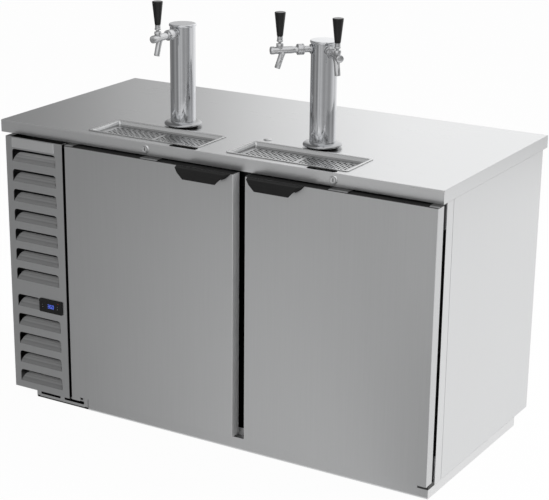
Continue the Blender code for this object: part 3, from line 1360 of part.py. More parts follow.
def make_condenser():
    """The condenser's finned block behind the louvers, its shroud, fan motor and fan."""
    x = (BAY_LEFT + COIL_SIDE_MARGIN, BAY_RIGHT - COIL_SIDE_MARGIN)
    front = LIP_Y + COIL_SETBACK
    back = front + COIL_DEPTH
    bottom = BASE_HEIGHT + GAP
    top = bottom + COIL_FOOT + COIL_HEIGHT
    block = box(x, (front, back), (bottom + COIL_FOOT, top))
    foot_z = (bottom, bottom + COIL_FOOT + SHEET)
    feet = [
        box(beside(start, COIL_FOOT_WIDTH), (front + SHEET, back - SHEET), foot_z)
        for start in (x[0], x[1] - COIL_FOOT_WIDTH)
    ]
    pitch = (x[1] - x[0]) / COIL_FINS
    grooves = [
        box(
            span(x[0] + (i + 1) * pitch, pitch * (1 - COIL_FIN_SHARE)),
            (front - OVERRUN, front + COIL_GROOVE),
            (bottom + COIL_FOOT + COIL_FOOT_WIDTH, top - COIL_FOOT_WIDTH),
        )
        for i in range(COIL_FINS - 1)
    ]
    coil = shaped(block, ("UNION", combined(feet)), ("DIFFERENCE", combined(grooves)))
    piece("condenser_coil", coil, ALUMINIUM)

    middle = (sum(x) / 2, (bottom + top) / 2)
    shroud_front = back + GAP
    plate = box(x, (shroud_front, shroud_front + SHROUD_THICK), (bottom, top))
    opening = FAN_RADIUS + FAN_TIP_GAP
    collar_end = shroud_front + SHROUD_THICK + SHROUD_COLLAR
    collar = rod(middle, "y", shroud_front + GAP, collar_end, opening + SHROUD_COLLAR_WALL, STEPS_LARGE)
    hole = rod(middle, "y", shroud_front - OVERRUN, collar_end + OVERRUN, opening, STEPS_LARGE)
    motor_start = collar_end + MOTOR_ARM_THICK
    arm = box(
        span(middle[0], 2 * (opening + SHROUD_COLLAR_WALL)),
        (collar_end - GAP, motor_start),
        span(middle[1], MOTOR_ARM),
    )
    motor = rod(middle, "y", collar_end, collar_end + MOTOR_LENGTH, MOTOR_RADIUS)
    fan_back = collar_end - GAP - RUNNING_GAP
    shaft = rod(middle, "y", fan_back - SHAFT_REACH, motor_start, SHAFT_RADIUS, STEPS_SMALL)
    shroud = shaped(
        plate, ("UNION", collar), ("DIFFERENCE", hole), ("UNION", arm), ("UNION", motor), ("UNION", shaft)
    )
    piece("condenser_fan_shroud", shroud, PAINTED_STEEL)

    spin = joint_empty("condenser_fan_axis", (middle[0], fan_back, middle[1]))
    fan = piece("condenser_fan", fan_mesh(FAN_RADIUS, FAN_HUB_LENGTH), BLACK_PLASTIC)
    fan.parent = spin
    fan.rotation_euler.x = math.pi / 2


def make_compressor():
    """A sealed compressor: two pressed cups with a welded seam, on a footed plate with rubber mounts."""
    center = (BAY_MIDDLE, LIP_Y + COMPRESSOR_SETBACK)
    bottom = BASE_HEIGHT + GAP
    plate_low = bottom + COMPRESSOR_LIFT - COMPRESSOR_FOOT_THICK
    seam = COMPRESSOR_SEAM_HEIGHT
    seam_lip = SHEET
    arc = [
        (
            COMPRESSOR_RADIUS * math.cos(i * math.pi / 2 / CORNER_STEPS),
            COMPRESSOR_HEIGHT - COMPRESSOR_RADIUS / 2 * (1 - math.sin(i * math.pi / 2 / CORNER_STEPS)),
        )
        for i in range(CORNER_STEPS)
    ]
    shell_foot_share = 0.82
    profile = [
        (COMPRESSOR_RADIUS * shell_foot_share, 0.0),
        (COMPRESSOR_RADIUS, COMPRESSOR_RADIUS / 4),
        (COMPRESSOR_RADIUS, seam - seam_lip),
        (COMPRESSOR_SEAM, seam - seam_lip),
        (COMPRESSOR_SEAM, seam + seam_lip),
        (COMPRESSOR_RADIUS, seam + seam_lip),
    ] + arc + [(0.0, COMPRESSOR_HEIGHT)]
    shell = moved(turned(profile), Matrix.Translation((center[0], center[1], bottom + COMPRESSOR_LIFT - GAP)))
    plate = prism(
        rounded(
            span(center[0], COMPRESSOR_FOOT_WIDTH), span(center[1], COMPRESSOR_FOOT_DEPTH), GROMMET_RADIUS, 2
        ),
        "z",
        plate_low,
        bottom + COMPRESSOR_LIFT,
    )
    extras = [plate]
    for sx in (-1, 1):
        for sy in (-1, 1):
            mount = (
                center[0] + sx * (COMPRESSOR_FOOT_WIDTH / 2 - GROMMET_RADIUS),
                center[1] + sy * (COMPRESSOR_FOOT_DEPTH / 2 - GROMMET_RADIUS),
            )
            extras.append(rod(mount, "z", bottom, plate_low + SHEET, GROMMET_POST_RADIUS, STEPS_SMALL))
    tube_foot = bottom + COMPRESSOR_LIFT + COMPRESSOR_HEIGHT - COMPRESSOR_RADIUS / 2
    tube_place = (center[0] - COMPRESSOR_RADIUS / 2, center[1])
    tube_top = tube_foot + COMPRESSOR_RADIUS / 2 + TUBE_RISE
    extras.append(rod(tube_place, "z", tube_foot, tube_top, TUBE_RADIUS, STEPS_SMALL))
    extras.append(
        box(
            span(center[0], TERMINAL_WIDTH),
            beside(center[1] + COMPRESSOR_RADIUS / 2, TERMINAL_DEPTH + TUBE_RISE / 2),
            span(bottom + TERMINAL_LIFT, TERMINAL_HEIGHT),
        )
    )
    piece("compressor", joined(shell, *extras), PAINTED_STEEL)


def make_rear():
    """The slotted cover on the back of the machine bay, with the bushing that a power lead would leave by."""
    x = (BAY_LEFT + GAP, PARTITION_X - GAP)
    low, high = WALL_BOTTOM, DECK_BOTTOM - GAP
    y = (CARCASS_REAR - SHEET, CARCASS_REAR)
    cover = box(x, y, (low, high))
    height = (high - low) * GRILLE_SPAN_SHARE
    pitch = height / GRILLE_SLOTS
    start = high - GRILLE_SLOT_MARGIN - pitch / 2
    slots = [
        box(
            (x[0] + GRILLE_SLOT_MARGIN, x[1] - GRILLE_SLOT_MARGIN),
            (y[0] - OVERRUN, y[1] + OVERRUN),
            span(start - i * pitch, GRILLE_SLOT_HEIGHT),
        )
        for i in range(GRILLE_SLOTS)
    ]
    gland = (BAY_MIDDLE, BASE_HEIGHT + GLAND_HEIGHT)
    hole = rod(gland, "y", y[0] - OVERRUN, y[1] + OVERRUN, GLAND_BODY_RADIUS + GAP, STEPS_SMALL)
    piece("rear_grille", cut(cover, combined(slots + [hole])), STEEL)

    flange = rod(gland, "y", y[1] + GAP, y[1] + GAP + SHEET, GLAND_RADIUS, STEPS_SMALL)
    body = rod(gland, "y", y[0] - GLAND_LENGTH, y[1] + 2 * GAP, GLAND_BODY_RADIUS, STEPS_SMALL)
    bore = rod(gland, "y", y[0] - GLAND_LENGTH - OVERRUN, y[1] + OVERRUN, GLAND_BORE, STEPS_SMALL)
    piece("cord_bushing", shaped(flange, ("UNION", body), ("DIFFERENCE", bore)), BLACK_RUBBER)


def make_evaporator():
    """The evaporator on the cold side of the partition: a case with fins, and a fan in a round mouth."""
    x = beside(PARTITION_IN + GAP, EVAPORATOR_WIDTH)
    y = beside(EVAPORATOR_FRONT, EVAPORATOR_DEPTH)
    top = DECK_BOTTOM - EVAPORATOR_DROP
    z = (top - EVAPORATOR_HEIGHT, top)
    case = box(x, y, z)
    mouth_z = z[1] - EVAPORATOR_FAN_RADIUS - EVAPORATOR_MOUTH_MARGIN
    mouth = (sum(y) / 2, mouth_z)
    mouth_floor = x[1] - EVAPORATOR_FAN_DEPTH - 2 * EVAPORATOR_WALL
    ring = rod(mouth, "x", mouth_floor, x[1] + OVERRUN, EVAPORATOR_FAN_RADIUS + FAN_TIP_GAP, STEPS_LARGE)
    motor_end = mouth_floor + EVAPORATOR_WALL
    fan_start = motor_end + RUNNING_GAP
    motor = rod(mouth, "x", mouth_floor - GAP, motor_end, MOTOR_RADIUS)
    shaft = rod(mouth, "x", mouth_floor - GAP, fan_start + SHAFT_REACH, SHAFT_RADIUS, STEPS_SMALL)
    intake_z = beside(z[0] + EVAPORATOR_MARGIN, INTAKE_HEIGHT)
    pitch = (y[1] - y[0] - 2 * EVAPORATOR_MARGIN) / EVAPORATOR_FINS
    intakes = [
        box(
            (x[1] - EVAPORATOR_FAN_DEPTH, x[1] + OVERRUN),
            span(y[0] + EVAPORATOR_MARGIN + (i + 0.5) * pitch, pitch - EVAPORATOR_WALL),
            intake_z,
        )
        for i in range(EVAPORATOR_FINS)
    ]
    unit = shaped(
        case,
        ("DIFFERENCE", combined(intakes + [ring])),
        ("UNION", motor),
        ("UNION", shaft),
    )
    piece("evaporator", unit, ALUMINIUM)

    spin = joint_empty("evaporator_fan_axis", (fan_start, mouth[0], mouth[1]))
    fan = piece("evaporator_fan", fan_mesh(EVAPORATOR_FAN_RADIUS, EVAPORATOR_FAN_LENGTH), BLACK_PLASTIC)
    fan.parent = spin
    fan.rotation_euler.y = math.pi / 2


def main():
    for obj in list(bpy.data.objects):
        bpy.data.objects.remove(obj)
    make_base()
    make_bracket()
    make_walls()
    make_deck()
    make_worktop()
    make_louver_panel()
    for side in DOORS:
        make_door(side)
        make_hinges(side)
        make_lock(side)
        make_tray(side)
        make_tower(side)
    make_faucets()
    make_condenser()
    make_compressor()
    make_rear()
    make_evaporator()


main()
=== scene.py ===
# %% [markdown]
# # Dressing a draft beer cooler
# The solids of the cooler come from CAD, already in metres and already in place. This lesson gives them
# their finishes, builds the turned and pressed pieces again with smooth curves, and sets up the camera and
# the lamps. Each shape is a formula worked out on whole numpy arrays, so it is easy to change and to check.

# %% Load the solids
import json
import math

import bmesh
import bpy
import numpy as np
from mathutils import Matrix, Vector


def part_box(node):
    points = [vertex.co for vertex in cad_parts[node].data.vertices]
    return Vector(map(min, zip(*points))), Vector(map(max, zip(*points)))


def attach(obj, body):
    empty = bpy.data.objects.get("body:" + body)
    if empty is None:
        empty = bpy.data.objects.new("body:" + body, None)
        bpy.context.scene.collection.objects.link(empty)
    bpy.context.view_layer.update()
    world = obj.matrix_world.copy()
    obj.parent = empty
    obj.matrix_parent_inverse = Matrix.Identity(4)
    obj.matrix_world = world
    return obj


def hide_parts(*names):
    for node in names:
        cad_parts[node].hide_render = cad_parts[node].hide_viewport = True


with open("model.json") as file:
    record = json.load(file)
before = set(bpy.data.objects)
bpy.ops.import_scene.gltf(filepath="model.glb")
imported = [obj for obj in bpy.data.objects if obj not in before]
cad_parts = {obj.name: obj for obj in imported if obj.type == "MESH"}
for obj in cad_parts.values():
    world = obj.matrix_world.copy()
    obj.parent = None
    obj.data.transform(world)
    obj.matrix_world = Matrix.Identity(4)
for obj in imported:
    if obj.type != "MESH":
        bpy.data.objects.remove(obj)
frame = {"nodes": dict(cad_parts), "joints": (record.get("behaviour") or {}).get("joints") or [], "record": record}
nodes = frame["nodes"]
joints = {joint["name"]: joint for joint in frame["joints"]}
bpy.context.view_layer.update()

# %% [markdown]
# ## Where things are
# The worktop is the datum that a cooler is built from: the columns stand on it, the faucets are measured
# from the columns, and the doors hang under its lip. The boxes of a few solids give the places that the rest
# is worked out from.

# %% Places
def middle(low, high):
    """The middle of a box."""
    return np.array([(a + b) / 2 for a, b in zip(low, high)])


top_low, top_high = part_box("worktop")
deck = top_high.z
left_door_low, left_door_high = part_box("left_door")
right_door_low, right_door_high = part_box("right_door")
carcass_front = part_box("right_side_panel")[0].y
columns = {}
for side in ("left", "right"):
    center = middle(*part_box(side + "_tower"))
    columns[side] = np.array([center[0], center[1], deck])
print("worktop", round(deck, 3), "m high, columns at", [round(float(c[0]), 3) for c in columns.values()])

# %% [markdown]
# ## The camera
# The photograph was taken from the right and above, at about the distance of a person across the room,
# through a long lens. The cooler sits low and right of the middle of the full picture, which is what the
# lens shift repeats.

# %% Camera
LOOK_DOWN, LOOK_LEFT = 19.30, 32.45

scene = bpy.context.scene
lens = bpy.data.cameras.new("camera")
lens.lens = 110.67
lens.sensor_width = 36.0
lens.shift_x = 0.1012
lens.shift_y = 0.0743
lens.clip_end = 60.0
camera = bpy.data.objects.new("camera", lens)
camera.location = (2.5371, -4.2437, 2.1054)
camera.rotation_euler = (math.radians(90 - LOOK_DOWN), 0.0, math.radians(LOOK_LEFT))
scene.collection.objects.link(camera)
scene.camera = camera
scene.view_settings.view_transform = "Standard"
print("camera", [round(v, 2) for v in camera.location])

# %% [markdown]
# ## Shader maths as plain sums
# A finish such as brushed steel is a few numbers that vary over the surface. Written as nodes, a sum of
# three terms is already hard to read. The small class below wraps a socket, so that `0.3 + 0.1 * grain` adds
# the Math nodes by itself. Every other node comes from one method, which sets a node's settings first and
# its sockets next.

# %% A wire that can be added and multiplied
class Wire:
    """An output socket. Sums and products with numbers or other wires become Math nodes in its tree."""

    def __init__(self, tree, socket):
        self.tree, self.socket = tree, socket

    def into(self, target):
        self.tree.links.new(self.socket, target)

    def math(self, operation, *values):
        return Maker(self.tree).node("ShaderNodeMath", {"operation": operation}, dict(enumerate(values)))

    def __add__(self, other):
        return self.math("ADD", self, other)

    def __sub__(self, other):
        return self.math("SUBTRACT", self, other)

    def __rsub__(self, other):
        return self.math("SUBTRACT", other, self)

    def __mul__(self, other):
        return self.math("MULTIPLY", self, other)

    __radd__ = __add__
    __rmul__ = __mul__


class Maker:
    """Adds nodes to one material."""

    def __init__(self, tree):
        self.tree = tree

    def node(self, kind, settings=None, inputs=None, out=0):
        """A node of this type: its settings, then the values or wires of its inputs, and one output."""
        made = self.tree.nodes.new(kind)
        for name, value in (settings or {}).items():
            if name == "stops":
                ramp = made.color_ramp
                for index, (place, shade) in enumerate(value):
                    stop = ramp.elements[index] if index < 2 else ramp.elements.new(place)
                    stop.position, stop.color = place, (shade, shade, shade, 1.0)
            else:
                setattr(made, name, value)
        for name, value in (inputs or {}).items():
            if isinstance(value, Wire):
                value.into(made.inputs[name])
            else:
                made.inputs[name].default_value = value
        return Wire(self.tree, made.outputs[out])


def finish(name, color, roughness, metallic=0.0, **sockets):
    """A new material with one Principled shader: the material, its shader and a maker of nodes for it."""
    material = bpy.data.materials.new(name)
    material.use_nodes = True
    shader = material.node_tree.nodes["Principled BSDF"]
    shader.inputs["Base Color"].default_value = (*color, 1.0)
    shader.inputs["Roughness"].default_value = roughness
    shader.inputs["Metallic"].default_value = metallic
    for socket, value in sockets.items():
        shader.inputs[socket.replace("_", " ").title().replace("Ior", "IOR")].default_value = value
    return material, shader, Maker(material.node_tree)


def stretched(make, scale=(1.0, 1.0, 1.0)):
    """Object coordinates multiplied by a scale along each axis. A small scale draws a pattern out."""
    place = make.node("ShaderNodeTexCoord", out="Object")
    return make.node("ShaderNodeVectorMath", {"operation": "MULTIPLY"}, {0: place, 1: scale})


def noise(make, place, scale, detail=3.0, roughness=0.55):
    inputs = {"Vector": place, "Scale": scale, "Detail": detail, "Roughness": roughness}
    return make.node("ShaderNodeTexNoise", {}, inputs)


def mixed(make, amount, first, second):
    """One colour turning into another as the amount goes from zero to one."""
    return make.node("ShaderNodeMix", {"data_type": "RGBA"}, {0: amount, 6: first, 7: second}, out=2)


def tinted(make, shader, color, amount):
    """The base colour made darker or lighter by an amount that varies over the surface."""
    low = tuple(channel * 0.80 for channel in color)
    high = tuple(min(1.0, channel * 1.20) for channel in color)
    mixed(make, amount, (*low, 1.0), (*high, 1.0)).into(shader.inputs["Base Color"])


def bumped(make, shader, height, strength, distance):
    inputs = {"Height": height, "Strength": strength, "Distance": distance}
    make.node("ShaderNodeBump", {}, inputs, out="Normal").into(shader.inputs["Normal"])


print("shader helpers ready")

# %% [markdown]
# ## Brushed stainless steel
# Sheet steel for kitchens is rubbed with an abrasive belt in one direction. Up close that is thousands of
# fine scratches, and from a few steps away it is a soft, slightly streaky sheen. Noise on coordinates that
# are squeezed across the rub and drawn out along it gives both: it varies the roughness, the colour and a
# faint bump. A second, broad noise stands for the wiped look that such sheets soon take on.

# %% Brushed steel
ALONG, UPRIGHT = (6.0, 420.0, 420.0), (420.0, 420.0, 5.0)


def bare(level, blue=0.010):
    """The grey of bare steel, which has a trace more blue than red."""
    return (level, level + blue / 2, level + blue)


def brushed(name, grain, color, roughness, streak=1.0):
    """Steel rubbed along the axis whose scale in `grain` is small."""
    material, shader, make = finish(name, color, roughness, 1.0)
    fine = noise(make, stretched(make, grain), 1.0, 4.0, 0.6)
    wiped = noise(make, stretched(make), 2.6, 2.0, 0.5)
    tinted(make, shader, color, 0.5 + (fine - 0.5) * (0.22 * streak) + (wiped - 0.5) * 0.10)
    level = roughness + (fine - 0.5) * (0.12 * streak) + (wiped - 0.5) * 0.06
    level.into(shader.inputs["Roughness"])
    bumped(make, shader, fine, 0.05 * streak, 0.0002)
    return material


steel_upright = brushed("steel_rubbed_upright", UPRIGHT, bare(0.60), 0.34)
steel_pressed = brushed("steel_pressed", (60.0,) * 3, bare(0.60), 0.22, 0.6)
plate_metal = brushed("steel_of_the_plate", (300.0, 300.0, 6.0), bare(0.80), 0.32, 0.6)
steel_grate = brushed("steel_of_the_grates", (60.0,) * 3, bare(0.62), 0.34, 0.6)
galvanised = brushed("galvanised", (24.0,) * 3, bare(0.48, 0.020), 0.45, 0.9)
print("steel:", [m.name for m in (steel_upright, steel_pressed, plate_metal, steel_grate, galvanised)])

# %% [markdown]
# ## Folds, cut edges and shaded insides
# A sheet isn't one tone all over here. Its cut edges and the folds beside a gap get painted shade, and a few get a
# painted light, and the inside of the machine bay behind the louvers is painted black as shade. A mask picks such
# a band
# out by its place: one between two heights or widths, and zero elsewhere. Inside the mask the colour changes, and
# where the band shouldn't mirror anything, it turns matt as well.

# %% Bands of another tone
def between(material, axis, low, high):
    """One where an object coordinate lies between two places, and zero elsewhere."""
    make = Maker(material.node_tree)
    place = make.node("ShaderNodeTexCoord", out="Object")
    value = make.node("ShaderNodeSeparateXYZ", {}, {0: place}, out="XYZ".index(axis))
    return value.math("GREATER_THAN", value, low) * value.math("LESS_THAN", value, high)


def on_face(material, axis, face, reach=0.0009):
    """One on a flat face that lies across an axis, and zero elsewhere."""
    return between(material, axis, face - reach, face + reach)


def shade_where(material, mask, color):
    """The colour of the part of a material inside a mask, with the rest of its finish left alone."""
    make = Maker(material.node_tree)
    socket = material.node_tree.nodes["Principled BSDF"].inputs["Base Color"]
    before = Wire(make.tree, socket.links[0].from_socket)
    mixed(make, mask, before, (*color, 1.0)).into(socket)


def matt_where(material, mask, color):
    """The part of a material inside a mask turned from bare metal to a matt colour."""
    shade_where(material, mask, color)
    metal = material.node_tree.nodes["Principled BSDF"].inputs["Metallic"]
    before = Wire(mask.tree, metal.links[0].from_socket) if metal.links else metal.default_value
    ((1.0 - mask) * before).into(metal)


print("bands can be shaded or turned matt")

# %% [markdown]
# The doors are pans with wrapped edges. The edges on both sides of the middle gap get a light matt tone, a painted
# light, while the top edge under the lip, the side in the gap of the machine bay and the outer corner at the back
# get painted shade. The side panel is a lighter copy of the steel, a painted light, with painted shade on its
# front edge in the gap behind the door, and the plinth's end gets a painted light. The inside of the left side
# panel, in the machine bay, is painted near-black as shade.

# %% Steel of the doors, side panels and plinth
WRAP, HIDDEN_CORNER = 0.0016, 0.013

steel_door = brushed("steel_of_the_doors", UPRIGHT, bare(0.60), 0.34)
# Painted light: the edges on both sides of the middle gap get a light matt tone.
gap_edges = between(steel_door, "X", left_door_high.x - WRAP, right_door_low.x + WRAP)
matt_where(steel_door, gap_edges, bare(0.62, 0.006))
# Painted shade: the top edge under the lip, the side by the machine bay and the hidden back corner are painted
# near-black.
matt_where(steel_door, on_face(steel_door, "Z", left_door_high.z), bare(0.012, 0.0))
matt_where(steel_door, on_face(steel_door, "X", left_door_low.x), bare(0.006, 0.0))
corner = on_face(steel_door, "X", right_door_high.x, HIDDEN_CORNER)
corner = corner * between(steel_door, "Y", left_door_high.y - 0.00675, left_door_high.y + 0.00075)
matt_where(steel_door, corner, bare(0.004, 0.0))

# Painted light: the right side panel is a lighter copy of the steel. Its front edge in the gap behind the door
# gets painted shade.
steel_side_painted_lighter = brushed("steel_side_painted_lighter", UPRIGHT, bare(0.685), 0.34)
matt_where(steel_side_painted_lighter, on_face(steel_side_painted_lighter, "Y", carcass_front, 0.00065), bare(0.004, 0.0))

# Painted shade: the inside of the left side panel, in the machine bay, is painted near-black.
steel_walls = brushed("steel_with_painted_shade_inside", UPRIGHT, bare(0.60), 0.34)
low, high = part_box("left_side_panel")
inside = between(steel_walls, "X", low.x + 0.0017, high.x + 0.20)
inside = inside * between(steel_walls, "Y", low.y + 0.0004, high.y - 0.0043)
matt_where(steel_walls, inside, bare(0.01, 0.0))

steel_base = brushed("steel_of_the_plinth", UPRIGHT, bare(0.60), 0.34)
# Painted light: the plinth's end face is lighter, to run on from the side panel.
shade_where(steel_base, on_face(steel_base, "X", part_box("base_frame")[1].x), bare(0.72, 0.006))
print("doors", round(right_door_low.x - left_door_high.x, 3), "m apart")

# %% [markdown]
# A louver is pressed inwards out of the sheet. The panel's steel is a darker copy of the door steel, a painted
# shade, and the vanes turn matt. Four bands one behind the other, the deeper ones covering the rear part of the
# shallower ones, make them lighter inwards, a painted light, and black at the deepest, a painted shade. The flange
# at the panel's right end is painted black as shade.

# %% Steel of the louvers and hinges
DEEP_INSIDE = -0.30

# Painted shade: the louver panel's steel is a darker copy of the door steel.
steel_louver = brushed("steel_of_the_louvers", UPRIGHT, bare(0.545), 0.34)
low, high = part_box("louver_panel")
# The vanes turn matt: lighter inwards as painted light, and black at the deepest band as painted shade.
matt_where(steel_louver, between(steel_louver, "Y", low.y + 0.00015, DEEP_INSIDE), bare(0.165, 0.003))
for depth, strength, tone in (
    (0.0062, 0.5, bare(0.30, 0.004)),
    (0.0122, 0.5, bare(0.44, 0.004)),
    (0.0212, 1.0, bare(0.02, 0.0)),
):
    vane = between(steel_louver, "Y", low.y + depth, DEEP_INSIDE) * strength
    shade_where(steel_louver, vane, tone)
# Painted shade: the flange at the right end of the panel is painted black.
flange = between(steel_louver, "X", high.x - 0.0003, high.x + 0.01)
flange = flange * between(steel_louver, "Y", low.y + 0.0004, DEEP_INSIDE)
shade_where(steel_louver, flange, bare(0.002, 0.0))

zinc = brushed("zinc_plated", (90.0,) * 3, bare(0.40), 0.50, 1.4)
# Painted shade: each hinge behind its front plate is matt near-black.
hinge_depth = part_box("left_top_hinge")[0].y + 0.0072
matt_where(zinc, between(zinc, "Y", hinge_depth, DEEP_INSIDE), bare(0.02, 0.0))
print("louvers", round(high.z - low.z, 3), "m of panel")

# %% [markdown]
# The worktop is folded down into a lip. The lip's face gets a lighter tone, a painted light, and the fold between
# the two is a narrow matt dark line, a painted shade. A tray gets a light matt rim, a painted light, and a darker
# band low on its walls and a near-black matt pan, painted shade of the pan that the grate keeps the light out of.

# %% Steel of the worktop and trays
steel_top = brushed("steel_of_the_worktop", ALONG, bare(0.66), 0.30)
# Painted light: the lip's face is a lighter copy of the worktop steel.
shade_where(steel_top, on_face(steel_top, "Y", top_low.y, 0.0004), bare(0.76))
# Painted shade: the fold between top and lip is a matt dark line.
fold = between(steel_top, "Y", top_low.y + 0.00025, top_low.y + 0.00315)
fold = fold * between(steel_top, "Z", deck - 0.0033, deck - 0.0001)
matt_where(steel_top, fold, bare(0.27, 0.003))

steel_tray = brushed("steel_of_the_trays", (60.0,) * 3, bare(0.60), 0.24, 0.6)
# Painted shade: a darker band low on the walls and a near-black matt pan. Painted light: a light matt rim.
shade_where(steel_tray, between(steel_tray, "Z", deck - 0.0190, deck - 0.0090), bare(0.33, 0.004))
matt_where(steel_tray, between(steel_tray, "Z", deck - 0.0001, deck + 0.0018), bare(0.40, 0.004))
matt_where(steel_tray, between(steel_tray, "Z", deck - 0.0790, deck - 0.0162), bare(0.06, 0.001))
print("worktop lip", round(top_high.z - top_low.z, 3), "m")

# %% [markdown]
# ## Polished chrome
# The columns and faucets are plated and polished, so almost all of their look is what they mirror. A real
# plated part isn't a perfect mirror: handling leaves faint smudges, which only change the roughness a little.

# %% Polished chrome
def polished(name, color, roughness):
    material, shader, make = finish(name, color, roughness, 1.0)
    smudge = noise(make, stretched(make), 38.0, 3.0, 0.6)
    (roughness + (smudge - 0.35) * 0.08).into(shader.inputs["Roughness"])
    tinted(make, shader, color, 0.5 + (smudge - 0.5) * 0.15)
    return material


chrome = polished("polished_chrome", (0.74, 0.75, 0.77), 0.07)
# Painted shade: the flange above the worktop is a darker grey, standing in for the dark reflections on its dome.
flange = between(chrome, "Z", deck + 0.0040, deck + 0.0175)
shade_where(chrome, flange, (0.42, 0.425, 0.435))
satin_chrome = polished("satin_chrome", (0.60, 0.605, 0.615), 0.25)
nickel = polished("dull_nickel", bare(0.82), 0.30)
print("plated:", chrome.name, satin_chrome.name, nickel.name)

# %% [markdown]
# ## Moulded plastic, rubber and paint
# The handles, the caps of the doors and the display are moulded in black plastic with a fine spark-eroded
# grain. The gaskets are softer and duller. The compressor and the fan's shroud are sprayed, which leaves the
# slow ripple called orange peel. All of them are a dark colour with a bump at their own scale.

# %% Plastic, rubber and paint
def grained(name, level, roughness, scale, depth, shine=0.5):
    """A black with a fine grain. Shine is how much of the light the surface throws back."""
    color = bare(level, 0.0)
    material, shader, make = finish(name, color, roughness, specular_ior_level=shine)
    place = stretched(make)
    grain = noise(make, place, scale, 2.0)
    worn = noise(make, place, 9.0, 3.0)
    (roughness + (worn - 0.5) * 0.22 + (grain - 0.5) * 0.10).into(shader.inputs["Roughness"])
    tinted(make, shader, color, worn)
    bumped(make, shader, grain, 0.35, depth)
    return material


black_plastic = grained("moulded_black", 0.022, 0.6, 900.0, 0.0003, 0.03)
# The door caps and the post are darker than the other black mouldings: real black plastic, with painted shade of
# the gaps they sit in.
door_cap_plastic = grained("door_cap_black", 0.004, 0.5, 700.0, 0.0003, 0.06)
post_plastic = grained("post_black", 0.002, 0.6, 700.0, 0.0003, 0.03)
knob_plastic = grained("glossy_black", 0.008, 0.22, 500.0, 0.0001, 0.35)
rubber = grained("black_rubber", 0.006, 0.72, 500.0, 0.0004, 0.10)
gasket_vinyl = grained("black_gasket", 0.010, 0.6, 400.0, 0.0003, 0.12)
sprayed = grained("sprayed_black", 0.018, 0.38, 160.0, 0.0006)
dark_void = grained("unlit_inside", 0.003, 0.8, 300.0, 0.0003, 0.02)
# The condenser fins are near-black: partly black paint, partly painted shade of the machine bay.
dark_fins = grained("fins_black_and_in_shade", 0.035, 0.7, 200.0, 0.0003, 0.10)
print("dark finishes ready")

# %% [markdown]
# ## Fins and liners
# The coils are packs of thin aluminium sheets, far too many to model one by one. A wave across the pack darkens
# the gaps between them, a painted shade, and tilts the light as the fins would. The inside of the cabinet is lined
# with aluminium sheet pressed with a pebble pattern, which hides dents: cells of uneven size, pushed up a little.
# Where the liners are seen in the door gaps, the front of one is painted black as shade, and the floor's front
# face gets a light matt tone, a painted light.

# %% Fins and liners
def finned(name, direction, pitch):
    """Bands of light and shade across a direction, as far apart as the fins."""
    material, shader, make = finish(name, (0.62, 0.63, 0.64), 0.42, 1.0)
    settings = {"bands_direction": direction, "wave_profile": "TRI"}
    place = make.node("ShaderNodeTexCoord", out="Object")
    inputs = {"Vector": place, "Scale": 1.0 / pitch / 6.2832, "Distortion": 0.3}
    wave = make.node("ShaderNodeTexWave", settings, inputs, out="Fac")
    # Painted shade: the wave darkens the gaps between the fins.
    tinted(make, shader, (0.42, 0.43, 0.44), wave * 1.3 - 0.1)
    (0.55 - wave * 0.2).into(shader.inputs["Roughness"])
    bumped(make, shader, wave, 0.6, 0.001)
    return material


def pebbled(name):
    color, roughness = bare(0.60, 0.020), 0.38
    material, shader, make = finish(name, color, roughness, 0.85)
    place = stretched(make)
    inputs = {"Vector": place, "Scale": 160.0}
    cells = make.node("ShaderNodeTexVoronoi", {"feature": "SMOOTH_F1"}, inputs, out="Distance")
    cloud = noise(make, place, 3.0)
    tinted(make, shader, color, 0.4 + cells * 0.25 + (cloud - 0.5) * 0.4)
    (roughness + (cloud - 0.5) * 0.15).into(shader.inputs["Roughness"])
    bumped(make, shader, cells, 0.35, 0.0006)
    return material


fins = finned("aluminium_fins", "X", 0.0032)
copper = brushed("drawn_copper", (60.0,) * 3, (0.42, 0.22, 0.14), 0.30, 0.6)
case_metal = brushed("evaporator_case", (30.0,) * 3, bare(0.60, 0.020), 0.40, 0.6)
liner = pebbled("pebbled_liner")
# Painted shade: the liner's front, seen in the door gaps, is painted black.
liner_front = pebbled("liner_with_painted_shade_front")
front = between(liner_front, "Y", carcass_front - 0.05, carcass_front + 0.0187)
matt_where(liner_front, front, bare(0.002, 0.0))
# Painted light: the floor panel's front face gets a light matt tone.
sill = pebbled("liner_with_a_painted_light_sill")
matt_where(sill, on_face(sill, "Y", carcass_front), bare(0.80, 0.006))
print("fins and liners ready")

# %% [markdown]
# ## Putting the finishes on
# A CAD solid keeps its shape and only changes its material. The names of the solids say what they are, so
# one list of pairs, read from the top, finds the finish of each.

